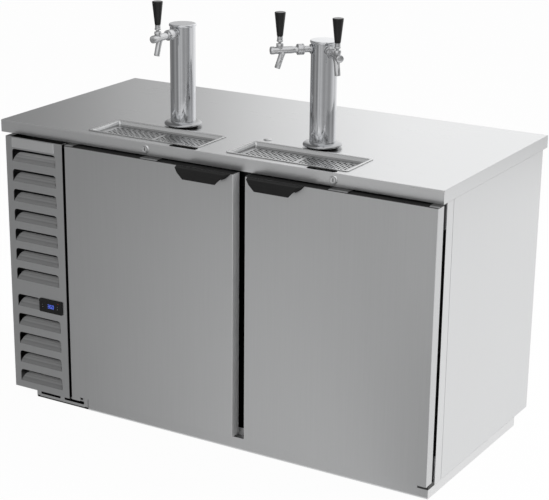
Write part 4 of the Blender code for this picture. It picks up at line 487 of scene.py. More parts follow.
# %% Finishes of the solids
FINISHES = [
    ("door_cap", door_cap_plastic),
    ("door_gasket", gasket_vinyl),
    ("tower_gasket", rubber),
    ("cord_bushing", rubber),
    ("tap_knob", knob_plastic),
    ("door_handle", black_plastic),
    ("center_post", post_plastic),
    ("temperature_controller", black_plastic),
    ("_fan_shroud", sprayed),
    ("compressor", sprayed),
    ("_fan", black_plastic),
    ("condenser_coil", fins),
    ("evaporator", case_metal),
    ("floor_panel", sill),
    ("partition_panel", liner_front),
    ("back_panel", liner),
    ("ceiling_panel", liner_front),
    ("worktop", steel_top),
    ("louver_panel", steel_louver),
    ("drip_tray", steel_pressed),
    ("grate", steel_pressed),
    ("right_side_panel", steel_side_painted_lighter),
    ("left_side_panel", steel_walls),
    ("hole_plug", steel_pressed),
    ("name_plate", plate_metal),
    ("_hinge", zinc),
    ("strike_plate", zinc),
    ("lower_bracket", steel_upright),
    ("base_frame", steel_base),
    ("lock_", nickel),
    ("tap_lever", satin_chrome),
    ("tower", chrome),
    ("faucet", chrome),
    ("shank", chrome),
    ("rear_grille", galvanised),
    ("_door", steel_door),
    ("", steel_upright),
]
for name, solid in nodes.items():
    surface = next(material for part, material in FINISHES if part in name)
    solid.data.materials.clear()
    solid.data.materials.append(surface)
print("finishes on", len(nodes), "solids")

# %% [markdown]
# ## Meshes from grids
# Most of the new pieces are one grid of points: rows along a profile and columns round an axis or across a
# sheet. Joining each point to its neighbours gives the faces. Rows that go round close on themselves, and
# the first and last rows are filled by one face each, so the piece is a closed skin that faces out.

# %% Grids to meshes
def placed(name, mesh, body, material, slot, replaces=(), sharp=35.0):
    """An object for a finished mesh, with its finish, riding on its body and standing for some solids."""
    mesh.shade_smooth()
    mesh.set_sharp_from_angle(angle=math.radians(sharp))
    mesh.materials.append(material)
    piece = bpy.data.objects.new(name, mesh)
    scene.collection.objects.link(piece)
    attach(piece, body)
    if replaces:
        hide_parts(*replaces)
    return piece


def build(name, grids, body, material, slot, replaces=(), sharp=35.0, ring=False):
    """One piece from grids whose rows go round: quads between the rows, and a face on each end.

    With ring=True the last row joins the first instead, as in a tyre.
    """
    points, faces, start = [], [], 0
    for grid in grids:
        rows, count = grid.shape[:2]
        index = start + np.arange(rows * count).reshape(rows, count)
        loop = np.vstack([index, index[:1]]) if ring else index
        after = np.roll(loop, -1, axis=1)
        quads = np.stack([loop[:-1], after[:-1], after[1:], loop[1:]], axis=-1).reshape(-1, 4)
        faces += quads.tolist() + ([] if ring else [index[0, ::-1].tolist(), index[-1].tolist()])
        points.append(grid.reshape(-1, 3))
        start += rows * count
    mesh = bpy.data.meshes.new(name)
    mesh.from_pydata(np.concatenate(points).tolist(), [], faces)
    mesh.update()
    return placed(name, mesh, body, material, slot, replaces, sharp)


print("grids become closed skins")

# %% [markdown]
# Three kinds of row serve nearly everything here. A lathe turns a profile about an axis. An oval is a level
# rectangle with rounded corners, for whatever is pressed or folded. Stood upright, it faces the front.

# %% Rows of points
AXIS_UP, AXIS_FRONT = (0.0, 0.0, 1.0), (0.0, -1.0, 0.0)


def lathe(profile, foot, direction=AXIS_UP, steps=64):
    """Points of a profile turned about an axis: foot + h * axis + r * (cos t * side + sin t * other)."""
    axis = np.array(direction, float) / np.linalg.norm(direction)
    helper = np.array([1.0, 0.0, 0.0]) if abs(axis[0]) < 0.9 else np.array([0.0, 1.0, 0.0])
    side = np.cross(helper, axis)
    side /= np.linalg.norm(side)
    other = np.cross(axis, side)
    radius, height = np.array(profile, float).T
    angle = np.linspace(0.0, 2 * np.pi, steps, endpoint=False)
    ring = np.cos(angle)[:, None] * side + np.sin(angle)[:, None] * other
    return np.array(foot) + height[:, None, None] * axis + radius[:, None, None] * ring


def arc(center, radius, start, end, steps):
    """A profile's rounded corner, as (radius, height) pairs from one angle to another in degrees."""
    angle = np.radians(np.linspace(start, end, steps))
    return [(center[0] + radius * math.cos(a), center[1] + radius * math.sin(a)) for a in angle]


def oval(center, half, corner, height, steps=8, side=5):
    """A level rounded rectangle: center + half - corner + corner * (cos t, sin t), and its sides."""
    quarters = []
    for quarter, (sx, sy) in enumerate(((1, 1), (-1, 1), (-1, -1), (1, -1))):
        t = np.radians(np.linspace(90 * quarter, 90 * quarter + 90, steps))
        x = center[0] + sx * (half[0] - corner) + corner * np.cos(t)
        y = center[1] + sy * (half[1] - corner) + corner * np.sin(t)
        quarters.append(np.column_stack([x, y]))
    share = np.linspace(0.0, 1.0, side + 2)[1:-1, None]
    rows = []
    for here, ahead in zip(quarters, quarters[1:] + quarters[:1]):
        rows += [here, (1 - share) * here[-1] + share * ahead[0]]
    flat = np.vstack(rows)
    return np.column_stack([flat, np.full(len(flat), height)])


def upright(outline, y):
    """A level outline stood up to face the front at y."""
    return np.column_stack([outline[:, 0], np.full(len(outline), y), outline[:, 1]])


print("lathe, arc, oval and upright ready")

# %% [markdown]
# A grate is a plate with hundreds of slots. Lines through the ends of all slots cut the plate into a grid of
# cells, and a cell is either metal or hole. Only the metal cells get faces, with walls where a hole begins.
# For the parts that only need softer edges, the solid itself is copied and a bevel rounds it.

# %% Plates with holes, and softened solids
SIDES_OF_A_CELL = (
    (0, -1, (0, 0), (1, 0)),
    (1, 0, (1, 0), (1, 1)),
    (0, 1, (1, 1), (0, 1)),
    (-1, 0, (0, 1), (0, 0)),
)


def sieve(lines_x, lines_y, metal, low, high):
    """A level plate made of the metal cells of a grid, from one height to another."""
    index = np.arange(len(lines_x) * len(lines_y) * 2).reshape(2, len(lines_x), len(lines_y))
    x, y = np.meshgrid(lines_x, lines_y, indexing="ij")
    flat = [x.ravel(), y.ravel()]
    points = np.concatenate([np.column_stack([*flat, np.full(x.size, height)]) for height in (low, high)])
    padded = np.pad(np.array(metal, bool), 1)
    inner = padded[1:-1, 1:-1]
    i, j = np.nonzero(inner)
    top = [index[1, i, j], index[1, i + 1, j], index[1, i + 1, j + 1], index[1, i, j + 1]]
    under = [index[0, i, j], index[0, i, j + 1], index[0, i + 1, j + 1], index[0, i + 1, j]]
    faces = [np.stack(top, 1), np.stack(under, 1)]
    for step_x, step_y, start, end in SIDES_OF_A_CELL:
        beside = np.roll(padded, (-step_x, -step_y), axis=(0, 1))[1:-1, 1:-1]
        i, j = np.nonzero(inner & ~beside)
        first, second = (i + start[0], j + start[1]), (i + end[0], j + end[1])
        wall = [index[0][first], index[0][second], index[1][second], index[1][first]]
        faces.append(np.stack(wall, 1))
    used, faces = np.unique(np.concatenate(faces), return_inverse=True)
    mesh = bpy.data.meshes.new("sieve")
    mesh.from_pydata(points[used].tolist(), [], faces.reshape(-1, 4).tolist())
    mesh.update()
    return mesh


def softened(node, body, material, slot, width, segments):
    """A merged copy of a solid with its edges rounded by a live bevel."""
    mesh = nodes[node].data.copy()
    work = bmesh.new()
    work.from_mesh(mesh)
    bmesh.ops.remove_doubles(work, verts=work.verts, dist=1e-6)
    bmesh.ops.dissolve_limit(work, angle_limit=math.radians(1.0), verts=work.verts, edges=work.edges)
    work.to_mesh(mesh)
    work.free()
    mesh.materials.clear()
    piece = placed(node + "_soft", mesh, body, material, slot, [node])
    edge = piece.modifiers.new("soft_edges", "BEVEL")
    edge.width, edge.segments = width, segments
    edge.limit_method, edge.angle_limit = "ANGLE", math.radians(30)
    edge.harden_normals = True
    return piece


print("plates and soft edges ready")

# %% [markdown]
# ## The columns
# Each column is a tube of 76 mm, polished, standing on a domed flange with a black gasket under it and closed
# by a flat cap with a rounded rim. All of them are turned shapes, so one profile each is enough. The
# flange's dome is a quarter of an ellipse that runs into the tube.

# %% Columns, caps and gaskets
TUBE, CAP, FLANGE, RISE = 0.0381, 0.0405, 0.057, 0.311
FLANGE_FOOT, FLANGE_EDGE, FLANGE_DOME = 0.0066, 0.0026, 0.0080
CENTER = 0.0005


def column_profile():
    """Up the flange's edge, over its quarter ellipse, up the tube, and round the cap's rim to its middle."""
    t = np.linspace(0.0, np.pi / 2, 12)
    shoulder = FLANGE_FOOT + FLANGE_EDGE
    foot = [(CENTER, FLANGE_FOOT), (FLANGE - 0.0006, FLANGE_FOOT), (FLANGE, FLANGE_FOOT + 0.0006)]
    dome = [(TUBE + (FLANGE - TUBE) * math.cos(a), shoulder + FLANGE_DOME * math.sin(a)) for a in t]
    joint = [(TUBE, RISE - 0.0080), (TUBE - 0.0006, RISE - 0.0078), (TUBE - 0.0006, RISE - 0.0074)]
    under_rim = arc((CAP - 0.0012, RISE - 0.0062), 0.0012, -90, 0, 4)
    rim = arc((CAP - 0.0022, RISE - 0.0022), 0.0022, 0, 90, 6)
    crown = [(CAP * 0.8, RISE + 0.0001), (CENTER, RISE + 0.0003)]
    return foot + dome + joint + under_rim + rim + crown


def gasket_profile():
    """A flat ring with a half round edge."""
    edge = arc((0.0412, 0.0033), 0.0030, -90, 90, 9)
    return [(CENTER, 0.0003), (0.0412, 0.0003)] + edge + [(CENTER, 0.0063)]


for side, foot in columns.items():
    tower = [lathe(column_profile(), foot, steps=96)]
    build(side + "_column", tower, "cabinet", chrome, "polished_chrome", [side + "_tower"])
    gasket = [lathe(gasket_profile(), foot, steps=96)]
    build(side + "_column_gasket", gasket, "cabinet", rubber, "black_rubber", [side + "_tower_gasket"])
print("columns rise", RISE, "m above the worktop")

# %% [markdown]
# ## The faucets
# A beer faucet is turned on a lathe from brass and then plated: a coupling nut, a waisted body, a front cap,
# a bonnet on top for the lever and a spout that leans forward. The spout flares where it meets the body, as
# a casting does. Every part is a profile about its own axis, and the three faucets differ only in heading.

# %% Profiles of a faucet
def body_profile():
    """From the coupling nut to the front cap, as radius and distance out."""
    nut = [(0.0100, 0.0600), (0.0140, 0.0600), (0.0157, 0.0614), (0.0157, 0.0640), (0.0150, 0.0646)]
    nut += [(0.0150, 0.0652), (0.0157, 0.0658), (0.0157, 0.0782), (0.0145, 0.0798), (0.0112, 0.0800)]
    neck = [(0.0106, 0.0812), (0.0096, 0.0830), (0.0093, 0.0855), (0.0095, 0.0890), (0.0102, 0.0925)]
    barrel = [(0.0104, 0.0960), (0.0104, 0.1400), (0.0101, 0.1452), (0.0101, 0.1460)]
    cap = [(0.0113, 0.1464), (0.0113, 0.1540), (0.0110, 0.1558), (0.0100, 0.1572), (0.0080, 0.1579)]
    return nut + neck + barrel + cap + [(0.0040, 0.1581), (0.0004, 0.1582)]


def spout_profile(length):
    """A flare that dies away along the root, a straight tube, and a mouth that turns back inside."""
    flare = [(0.0083 + 0.0050 * math.exp(-h / 0.0060), h) for h in np.linspace(0.004, 0.030, 13)]
    mouth = [(0.0083, length - 0.0010), (0.0078, length), (0.0066, length), (0.0060, length - 0.0006)]
    return [(CENTER, 0.0)] + flare + mouth + [(0.0060, length - 0.014), (CENTER, length - 0.014)]


def bonnet_profile():
    """The collar that holds the lever's ball, as radius and height above the worktop."""
    collar = [(CENTER, 0.289), (0.0098, 0.289), (0.0098, 0.2960), (0.0092, 0.2966), (0.0092, 0.2976)]
    collar += [(0.0101, 0.2982), (0.0102, 0.3050), (0.0096, 0.3066), (0.0080, 0.3070), (0.0060, 0.3068)]
    return collar + [(0.0056, 0.3050), (CENTER, 0.3048)]


def shank_profile():
    """The tube out of the column, with the washer against the column's wall."""
    tube = [(CENTER, 0.0140), (0.0094, 0.0140), (0.0094, 0.0384)]
    washer = [(0.0136, 0.0384), (0.0140, 0.0390)] + arc((0.0128, 0.0403), 0.0012, 0, 90, 5)
    return tube + washer + [(0.0094, 0.0415), (0.0094, 0.0598), (CENTER, 0.0598)]


HEXAGON = [(0.0096, 0.0285), (0.0155, 0.0285), (0.0155, 0.0345), (0.0096, 0.0345)]
print("a faucet has", len(body_profile()), "points from its nut to its cap")

# %% [markdown]
# The joint of each lever says where its faucet is: the joint's axis is the sideways direction, a quarter
# turn from it is the way out of the column, and the pivot lies straight above the bonnet.

# %% Faucets and shanks
LEVER_REACH, SPOUT_ROOT, SPOUT_TIP = 0.130, 0.120, 0.137
FAUCET_HEIGHT, TIP_HEIGHT = 0.287, 0.236
FAUCETS = ("left", "center", "right")


def tap_frame(name):
    """The heading of a faucet: the foot of its column's axis on the worktop, and its way out."""
    joint = joints[name + "_tap_pull"]
    side = np.array(joint["axis"], float)
    out = np.array([side[1], -side[0], 0.0])
    foot = np.array(joint["pos_m"], float) - out * LEVER_REACH
    foot[2] = deck
    return foot, out


for name in FAUCETS:
    foot, out = tap_frame(name)
    axis = foot + np.array([0.0, 0.0, FAUCET_HEIGHT])
    root = axis + out * SPOUT_ROOT
    tip = foot + out * SPOUT_TIP + np.array([0.0, 0.0, TIP_HEIGHT])
    parts = [
        lathe(body_profile(), axis, out),
        lathe(spout_profile(float(np.linalg.norm(tip - root))), root, tip - root, 48),
        lathe(bonnet_profile(), foot + out * LEVER_REACH, steps=48),
    ]
    build(name + "_faucet_turned", parts, "cabinet", satin_chrome, "polished_chrome", [name + "_faucet"])
    parts = [lathe(shank_profile(), axis, out, 48), lathe(HEXAGON, axis, out, 6)]
    build(name + "_shank_turned", parts, "cabinet", satin_chrome, "polished_chrome", [name + "_shank"])
print("three faucets built")

# %% [markdown]
# ## Levers and handles
# The lever is a ball and a stem that end in a threaded ferrule, and the tall black handle screws onto it.
# The handle is a cone that widens upwards, with a soft edge and a slightly dished top.

# %% Levers and handles
BALL, STEM, BALL_HEIGHT = 0.0085, 0.0040, 0.300


def lever_profile():
    """Up the ball to the stem, then the ferrule, as radius and height above the worktop."""
    t = np.linspace(math.pi - 0.06, math.asin(STEM / BALL), 14)
    ball = [(BALL * math.sin(a), BALL_HEIGHT + BALL * math.cos(a)) for a in t]
    ferrule = [(STEM, 0.3088), (0.0046, 0.3100), (0.0082, 0.3115), (0.0089, 0.3122), (0.0090, 0.3130)]
    ferrule += [(0.0090, 0.3152), (0.0086, 0.3160), (0.0080, 0.3164), (0.0080, 0.3262)]
    return ball + ferrule + [(0.0072, 0.3269), (CENTER, 0.3270)]


def knob_profile():
    """A straight flank from the narrow foot to the wide top, and a rounded edge."""
    foot = [(CENTER, 0.3273), (0.0082, 0.3273), (0.0088, 0.3279)]
    flank = list(zip(np.linspace(0.0088, 0.0157, 9), np.linspace(0.3285, 0.3925, 9)))
    edge = arc((0.0136, 0.3928), 0.0022, 8, 90, 6)
    return foot + flank + edge + [(0.0090, 0.3948), (CENTER, 0.3947)]


for name in FAUCETS:
    foot, out = tap_frame(name)
    base = foot + out * LEVER_REACH
    body = name + "_tap"
    lever = [lathe(lever_profile(), base, steps=48)]
    build(name + "_lever_turned", lever, body, satin_chrome, "polished_chrome", [name + "_tap_lever"])
    knob = [lathe(knob_profile(), base, steps=64)]
    build(name + "_handle_turned", knob, body, knob_plastic, "black_plastic", [name + "_tap_knob"])
print("handles end", round(0.3948 + deck, 3), "m up")

# %% [markdown]
# ## Drip trays
# A tray is pressed from one sheet: a raised rim, a short slope to the ledge that the grate lies on, and a
# shallow pan that falls to a drain. Its levels are rounded rectangles, given as (inset, height) pairs, and
# every turn between them is eased by a few extra levels. Round rings on the same headings make the drain.

# %% Trays
def tray_levels():
    """From the outside of the pan up over the rim, and down the inside to the floor of the pan."""
    pan = [(0.0222, 0.8633), (0.0206, 0.8640), (0.0198, 0.8655), (0.0198, 0.8716), (0.0150, 0.8724)]
    outside = [(0.0138, 0.8732), (0.0092, 0.8890), (0.0070, 0.8893), (0.0004, 0.8893), (0.0, 0.8898)]
    rim = [(0.0, 0.8905), (0.0006, 0.8911), (0.0016, 0.8913), (0.0034, 0.8913), (0.0060, 0.8910)]
    slope = [(0.0080, 0.8908), (0.0094, 0.8903), (0.0104, 0.8892), (0.0114, 0.8862), (0.0134, 0.8784)]
    ledge = [(0.0142, 0.8750), (0.0150, 0.8738), (0.0162, 0.8735), (0.0196, 0.8735), (0.0206, 0.8731)]
    well = [(0.0210, 0.8722), (0.0211, 0.8668), (0.0217, 0.8650), (0.0232, 0.8642), (0.0260, 0.8640)]
    return pan + outside + rim + slope + ledge + well + [(0.0420, 0.8639)]


def round_rings(center, headings, pairs):
    """Round rings about a centre, given as (radius, height) pairs, with their points on given headings."""
    return [np.column_stack([center + r * headings, np.full(len(headings), z)]) for r, z in pairs]


def tray_grid(low, high):
    """The bore of the spout, the spout, the pan and its rim, and the inside down to the drain."""
    center = middle(low, high)[:2]
    half = np.array([high.x - low.x, high.y - low.y]) / 2
    rings = [oval(center, half - inset, max(0.010 - 0.3 * inset, 0.004), z) for inset, z in tray_levels()]
    headings = rings[0][:, :2] - center
    headings /= np.linalg.norm(headings, axis=1, keepdims=True)
    spout = [(0.0080, low.z + 0.002), (0.0094, low.z), (0.0106, low.z + 0.0002), (0.0110, low.z + 0.001)]
    spout += [(0.0110, 0.8610), (0.0125, 0.8622), (0.0180, 0.8626)]
    bore = [(0.0170, 0.8636), (0.0110, 0.8630), (0.0088, 0.8620), (0.0082, 0.8600), (0.0080, 0.8560)]
    bore += [(0.0078, low.z + 0.004)]
    return np.stack(round_rings(center, headings, spout) + rings + round_rings(center, headings, bore))


print("a tray has", len(tray_levels()), "levels and a drain")

# %% [markdown]
# ## Grates
# The grate is a plate with two fields of slots on either side of a plain bar. Every other column of slots is
# moved by half a slot, which keeps the plate stiff and gives the woven look.

# %% Grates, and both built
BORDER, BAR, SLOT_COLUMNS, SLOT_ROWS, SLOT_WIDTH, BRIDGE = 0.0115, 0.010, 16, 5, 0.0050, 0.0042


def grate_slots(low, high):
    """The slots of a grate as (x, x, y, y) edges."""
    field = (high.x - low.x - 2 * BORDER - BAR) / 2
    pitch, step = field / SLOT_COLUMNS, (high.y - low.y - 2 * BORDER) / SLOT_ROWS
    half_width, half_length = SLOT_WIDTH / 2, (step - BRIDGE) / 2
    slots = []
    for start in (low.x + BORDER, high.x - BORDER - field):
        for column in range(SLOT_COLUMNS):
            x = start + (column + 0.5) * pitch
            moved = column % 2 == 0
            for row in range(SLOT_ROWS - moved):
                y = low.y + BORDER + (row + (1.0 if moved else 0.5)) * step
                slots.append((x - half_width, x + half_width, y - half_length, y + half_length))
    return slots


def grate_mesh(low, high):
    """A plate cut along the edges of all slots, with the cells inside a slot left out."""
    slots = grate_slots(low, high)
    x = np.unique(np.round([low.x, high.x] + [edge for slot in slots for edge in slot[:2]], 6))
    y = np.unique(np.round([low.y, high.y] + [edge for slot in slots for edge in slot[2:]], 6))
    cell_x, cell_y = np.meshgrid((x[1:] + x[:-1]) / 2, (y[1:] + y[:-1]) / 2, indexing="ij")
    metal = np.ones_like(cell_x, bool)
    for x0, x1, y0, y1 in slots:
        metal &= ~((cell_x > x0) & (cell_x < x1) & (cell_y > y0) & (cell_y < y1))
    return sieve(x, y, metal, low.z, high.z)


for side in ("left", "right"):
    tray = [tray_grid(*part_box(side + "_drip_tray"))]
    build(side + "_tray_pressed", tray, "cabinet", steel_tray, "stainless_sheet", [side + "_drip_tray"])
    low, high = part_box(side + "_grate")
    plate = grate_mesh(low, high)
    body, node = side + "_grate_body", side + "_grate"
    placed(side + "_grate_slotted", plate, body, steel_grate, "stainless_sheet", [node])
print("each grate has", len(grate_slots(low, high)), "slots")

# %% [markdown]
# ## Locks and the plug
# The barrel of a lock ends in a domed ring. The keyway is a dark slab of the unlit black down its middle, a
# painted shade in place of a cut. The plug in the worktop is a shallow dome.

# %% Locks and hole plug
def ring_profile(depth):
    """A lock's ring: a sleeve as deep as the barrel, and the rounded bezel at its front."""
    sleeve = [(0.0088, 0.0), (0.0102, 0.0), (0.0102, depth - 0.0029), (0.0124, depth - 0.0028)]
    bezel = [(0.0125, depth - 0.0020), (0.0121, depth - 0.0010), (0.0112, depth - 0.0002), (0.0104, depth)]
    return sleeve + bezel + [(0.0096, depth - 0.0003), (0.0089, depth - 0.0012), (0.0088, depth - 0.0022)]


for side in ("left", "right"):
    low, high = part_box(side + "_lock_barrel")
    center = middle(low, high)
    back = (center[0], high.y, center[2])
    ring = [lathe(ring_profile(high.y - low.y), back, AXIS_FRONT, 48)]
    node = side + "_lock_barrel"
    build(side + "_lock_ring", ring, "cabinet", nickel, "stainless_sheet", [node], ring=True)
    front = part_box(side + "_lock_plug")[0].y
    # Painted shade: the keyway is a dark slab of the unlit black, not a cut.
    bar = oval((center[0], center[2]), (0.00115, 0.0052), 0.0010, 0.0, 5, 1)
    keyway = np.stack([upright(bar, front + 0.0014), upright(bar, front + 0.0003)])
    build(side + "_keyway", [keyway[:, ::-1]], side + "_lock", dark_void, "black_plastic")

low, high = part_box("hole_plug")
center = middle(low, high)
root = low.z - deck
button = [(CENTER, root), (0.0095, root), (0.0100, root + 0.0006), (0.0100, 0.0002), (0.0125, 0.0002)]
dome = np.radians([0, 20, 38, 55, 70, 82, 88])
button += [(0.0125 * math.cos(a), 0.0008 + 0.0024 * math.sin(a)) for a in dome]
plug = [lathe(button, (center[0], center[1], deck), steps=48)]
build("hole_plug_domed", plug, "cabinet", steel_pressed, "stainless_sheet", ["hole_plug"])

# %% [markdown]
# ## Finger slots
# In front of each tray a slot in the worktop lets the fingers in to lift the tray. A liner of the unlit black
# closes it below, a painted shade of the slot's depth, and a thin black edging guards the hand from the cut sheet.

# %% Liners and edging of the finger slots
SLOT_SHARES = {"left": 0.4431, "right": 0.7482}
LINER_LEVELS = ((0.0006, -0.0062), (0.0003, -0.0058), (0.0003, -0.0011), (0.0006, -0.0008))
EDGING_LEVELS = ((0.0, 0.00005), (0.0004, 0.0005), (0.0030, 0.0007), (0.0042, 0.0005), (0.0044, 0.00005))

for side, share in SLOT_SHARES.items():
    x, y = top_low.x + (top_high.x - top_low.x) * share, top_low.y + 0.0145
    # Painted shade: the liner is the unlit black of the slot's depth.
    rings = [oval((x, y), (0.0440 - d, 0.0060 - d), 0.0052, deck + h, 6, 2) for d, h in LINER_LEVELS]
    build(side + "_slot_liner", [np.stack(rings)], "cabinet", dark_void, "black_rubber")
    rings = []
    for inset, height in EDGING_LEVELS:
        half = (0.0465 - inset, 0.0098 - inset)
        rings.append(oval((x, y + 0.0010), half, 0.0085 - inset, deck + height, 8, 2))
    build(side + "_slot_edging", [np.stack(rings)], "cabinet", dark_void, "black_rubber", ring=True)
print("two finger slots lined")

# %% [markdown]
# ## Small sheet parts with soft edges
# The door handles, the display, the name plate, the hinges and a few inner parts keep the shape that CAD
# gave them. A narrow bevel rounds their edges, so that each one catches a thin line of light.

# %% Soft edges
SOFT = [
    ("door_handle", black_plastic, "black_plastic", 0.0014, 3),
    ("temperature_controller", black_plastic, "black_plastic", 0.0006, 2),
    ("name_plate", plate_metal, "stainless_sheet", 0.0004, 2),
    ("strike_plate", zinc, "stainless_sheet", 0.0004, 2),
    ("_hinge", zinc, "stainless_sheet", 0.0005, 2),
    ("fan_shroud", sprayed, "black_paint", 0.0008, 2),
    ("evaporator", case_metal, "fin_aluminium", 0.0010, 2),
    ("cord_bushing", rubber, "black_rubber", 0.0008, 2),
]
members = frame["record"]["behaviour"]["bodies"]
body_of = {node: body for body in members for node in members[body]}
for part, surface, slot, width, segments in SOFT:
    for node in sorted(nodes):
        if part in node and not node.endswith("evaporator_fan"):
            softened(node, body_of[node], surface, slot, width, segments)

# %% [markdown]
# ## The display
# The display shows a temperature in blue digits of seven bars each, and a small red lamp. Each bar runs
# between two corners of a digit, given as shares of its width and height.

# %% Display
def slab(x, y, z):
    """A thin plate that faces the front, with slightly cut corners: one outline at two places of y."""
    half = ((x[1] - x[0]) / 2, (z[1] - z[0]) / 2)
    outline = oval(((x[0] + x[1]) / 2, (z[0] + z[1]) / 2), half, min(half) * 0.44, 0.0, 4, 0)
    return np.stack([upright(outline, y[1]), upright(outline, y[0])])[:, ::-1]


def lamp_material(name, color, strength):
    material, shader, make = finish(name, (0.01, 0.01, 0.01), 0.5)
    shader.inputs["Emission Color"].default_value = (*color, 1.0)
    shader.inputs["Emission Strength"].default_value = strength
    (0.45 + noise(make, stretched(make), 400.0) * 0.1).into(shader.inputs["Roughness"])
    return material


BAR_SHARES = {
    "a": (0, 1, 1, 1),
    "b": (1, 0.5, 1, 1),
    "c": (1, 0, 1, 0.5),
    "d": (0, 0, 1, 0),
    "e": (0, 0, 0, 0.5),
    "f": (0, 0.5, 0, 1),
    "g": (0, 0.5, 1, 0.5),
}
DIGITS = {"3": "abgcd", "6": "afgedc", "0": "abcdef"}
DIGIT_WIDTH, DIGIT_HEIGHT, DIGIT_STEP, STROKE = 0.0052, 0.0104, 0.0085, 0.00065

low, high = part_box("temperature_controller")
face = (low.y - 0.0004, low.y - 0.0001)
middle_x, _, middle_z = middle(low, high)
bars = []
for place, digit in enumerate("360"):
    left, bottom = middle_x - 0.0105 + place * DIGIT_STEP, middle_z - DIGIT_HEIGHT / 2
    for bar in DIGITS[digit]:
        x0, z0, x1, z1 = BAR_SHARES[bar]
        xs = (left + x0 * DIGIT_WIDTH - STROKE, left + x1 * DIGIT_WIDTH + STROKE)
        zs = (bottom + z0 * DIGIT_HEIGHT - STROKE, bottom + z1 * DIGIT_HEIGHT + STROKE)
        bars.append(slab(xs, face, zs))
point = slab((middle_x + 0.0043, middle_x + 0.0054), face, (middle_z - 0.0058, middle_z - 0.0047))
blue = lamp_material("blue_digits", (0.12, 0.20, 1.0), 1.0)
build("display_digits", bars + [point], "cabinet", blue, "black_plastic")
lamp = slab((high.x - 0.017, high.x - 0.0125), face, (high.z - 0.0085, high.z - 0.0065))
red = lamp_material("red_lamp", (0.45, 0.02, 0.02), 0.35)
build("display_lamp", [lamp], "cabinet", red, "black_plastic")
keys = []
for x in (middle_x - 0.030, middle_x + 0.027):
    for z in (middle_z - 0.004, middle_z + 0.0035):
        keys.append(slab((x - 0.0007, x + 0.0007), face, (z - 0.0007, z + 0.0007)))
build("display_keys", keys, "cabinet", nickel, "black_plastic")
print("display with", len(bars), "bars and", len(keys), "keys")

# %% [markdown]
# ## Plate and hinges
# The name plate has a raised border. Four plated legs, seen in the gaps beside the doors, carry the hinges.

# %% Name plate and hinge legs
BORDER_STEPS = ((0.0004, 0.0001), (0.0007, 0.0005), (0.0016, 0.0005), (0.0019, 0.0001))

low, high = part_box("name_plate")
center = middle(low, high)[[0, 2]]
half = np.array([high.x - low.x, high.z - low.z]) / 2
rings = []
for inset, proud in BORDER_STEPS:
    rings.append(upright(oval(center, half - inset, 0.0020, 0.0, 5, 2), low.y - proud))
build("name_plate_border", [np.stack(rings)], "cabinet", plate_metal, "stainless_sheet", ring=True)

legs = []
leg_depth = (carcass_front - 0.00285, carcass_front - 0.00035)
for outer, step in ((left_door_low.x, 1), (right_door_high.x, -1)):
    xs = sorted((outer + step * 0.0009, outer + step * 0.0117))
    for zs in ((0.776, 0.850), (0.0405, 0.116)):
        legs.append(slab(xs, leg_depth, zs))
build("hinge_legs", legs, "cabinet", galvanised, "stainless_sheet")
print("border and legs built")

# %% [markdown]
# The lower bracket gets dark patches over its slots and lower corners and black bands along its bottom and right
# edges, all painted shade, and a dark strip behind it, a painted shade too, closes it from behind. A small plate
# shields the hinge in the corner beside it.

# %% Lower bracket and hinge shield
low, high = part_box("lower_bracket")
face = (low.y - 0.0005, low.y - 0.0001)
corner_height = (low.z + 0.0004, low.z + 0.0055)
slot_height = (low.z + 0.0128, low.z + 0.0226)
# Painted shade: dark patches over the bracket's slots and its lower corners.
slots = [slab((low.x + start, low.x + start + 0.076), face, slot_height) for start in (0.017, 0.110)]
slots += [slab((low.x + 0.0015, low.x + 0.012), face, corner_height)]
slots += [slab((high.x - 0.014, high.x - 0.0005), face, corner_height)]
build("bracket_slots", slots, "cabinet", dark_void, "black_rubber")
# Painted shade: black bands along the bracket's bottom edge and right end.
edge_shade = [slab((low.x + 0.012, high.x - 0.014), face, (low.z + 0.0004, low.z + 0.0042))]
edge_shade += [slab((high.x - 0.0012, high.x - 0.0002), face, (low.z + 0.006, high.z - 0.001))]
build("bracket_edge_shade", edge_shade, "cabinet", sprayed, "black_paint")
corner_low, corner_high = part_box("left_bottom_hinge")
shield_x = (corner_low.x + 0.0002, corner_high.x - 0.0001)
shield_y = (corner_low.y - 0.00115, corner_low.y - 0.00025)
shield = slab(shield_x, shield_y, (corner_low.z + 0.0005, left_door_low.z - 0.0004))
build("hinge_shield", [shield], "cabinet", steel_upright, "stainless_sheet")
# Painted shade: a dark strip behind the bracket fills the slots with black.
behind = (low.y + 0.0016, low.y + 0.0024)
strip = slab((low.x + 0.004, high.x - 0.004), behind, (low.z + 0.009, low.z + 0.030))
build("bracket_strip", [strip], "cabinet", dark_void, "black_rubber")
print("bracket", round(high.x - low.x, 3), "m wide")

# %% [markdown]
# ## Fans
# A fan's blade is a thin aerofoil that is wider at its tip and turns flatter on the way out. Its section is
# an ellipse, drawn along a chord whose pitch angle falls with the radius.

# %% Fans
BLADES, HUB, NOSE = 5, 0.020, 0.005
FANS = (("condenser_fan", AXIS_FRONT, 0.0735), ("evaporator_fan", (1.0, 0.0, 0.0), 0.0615))


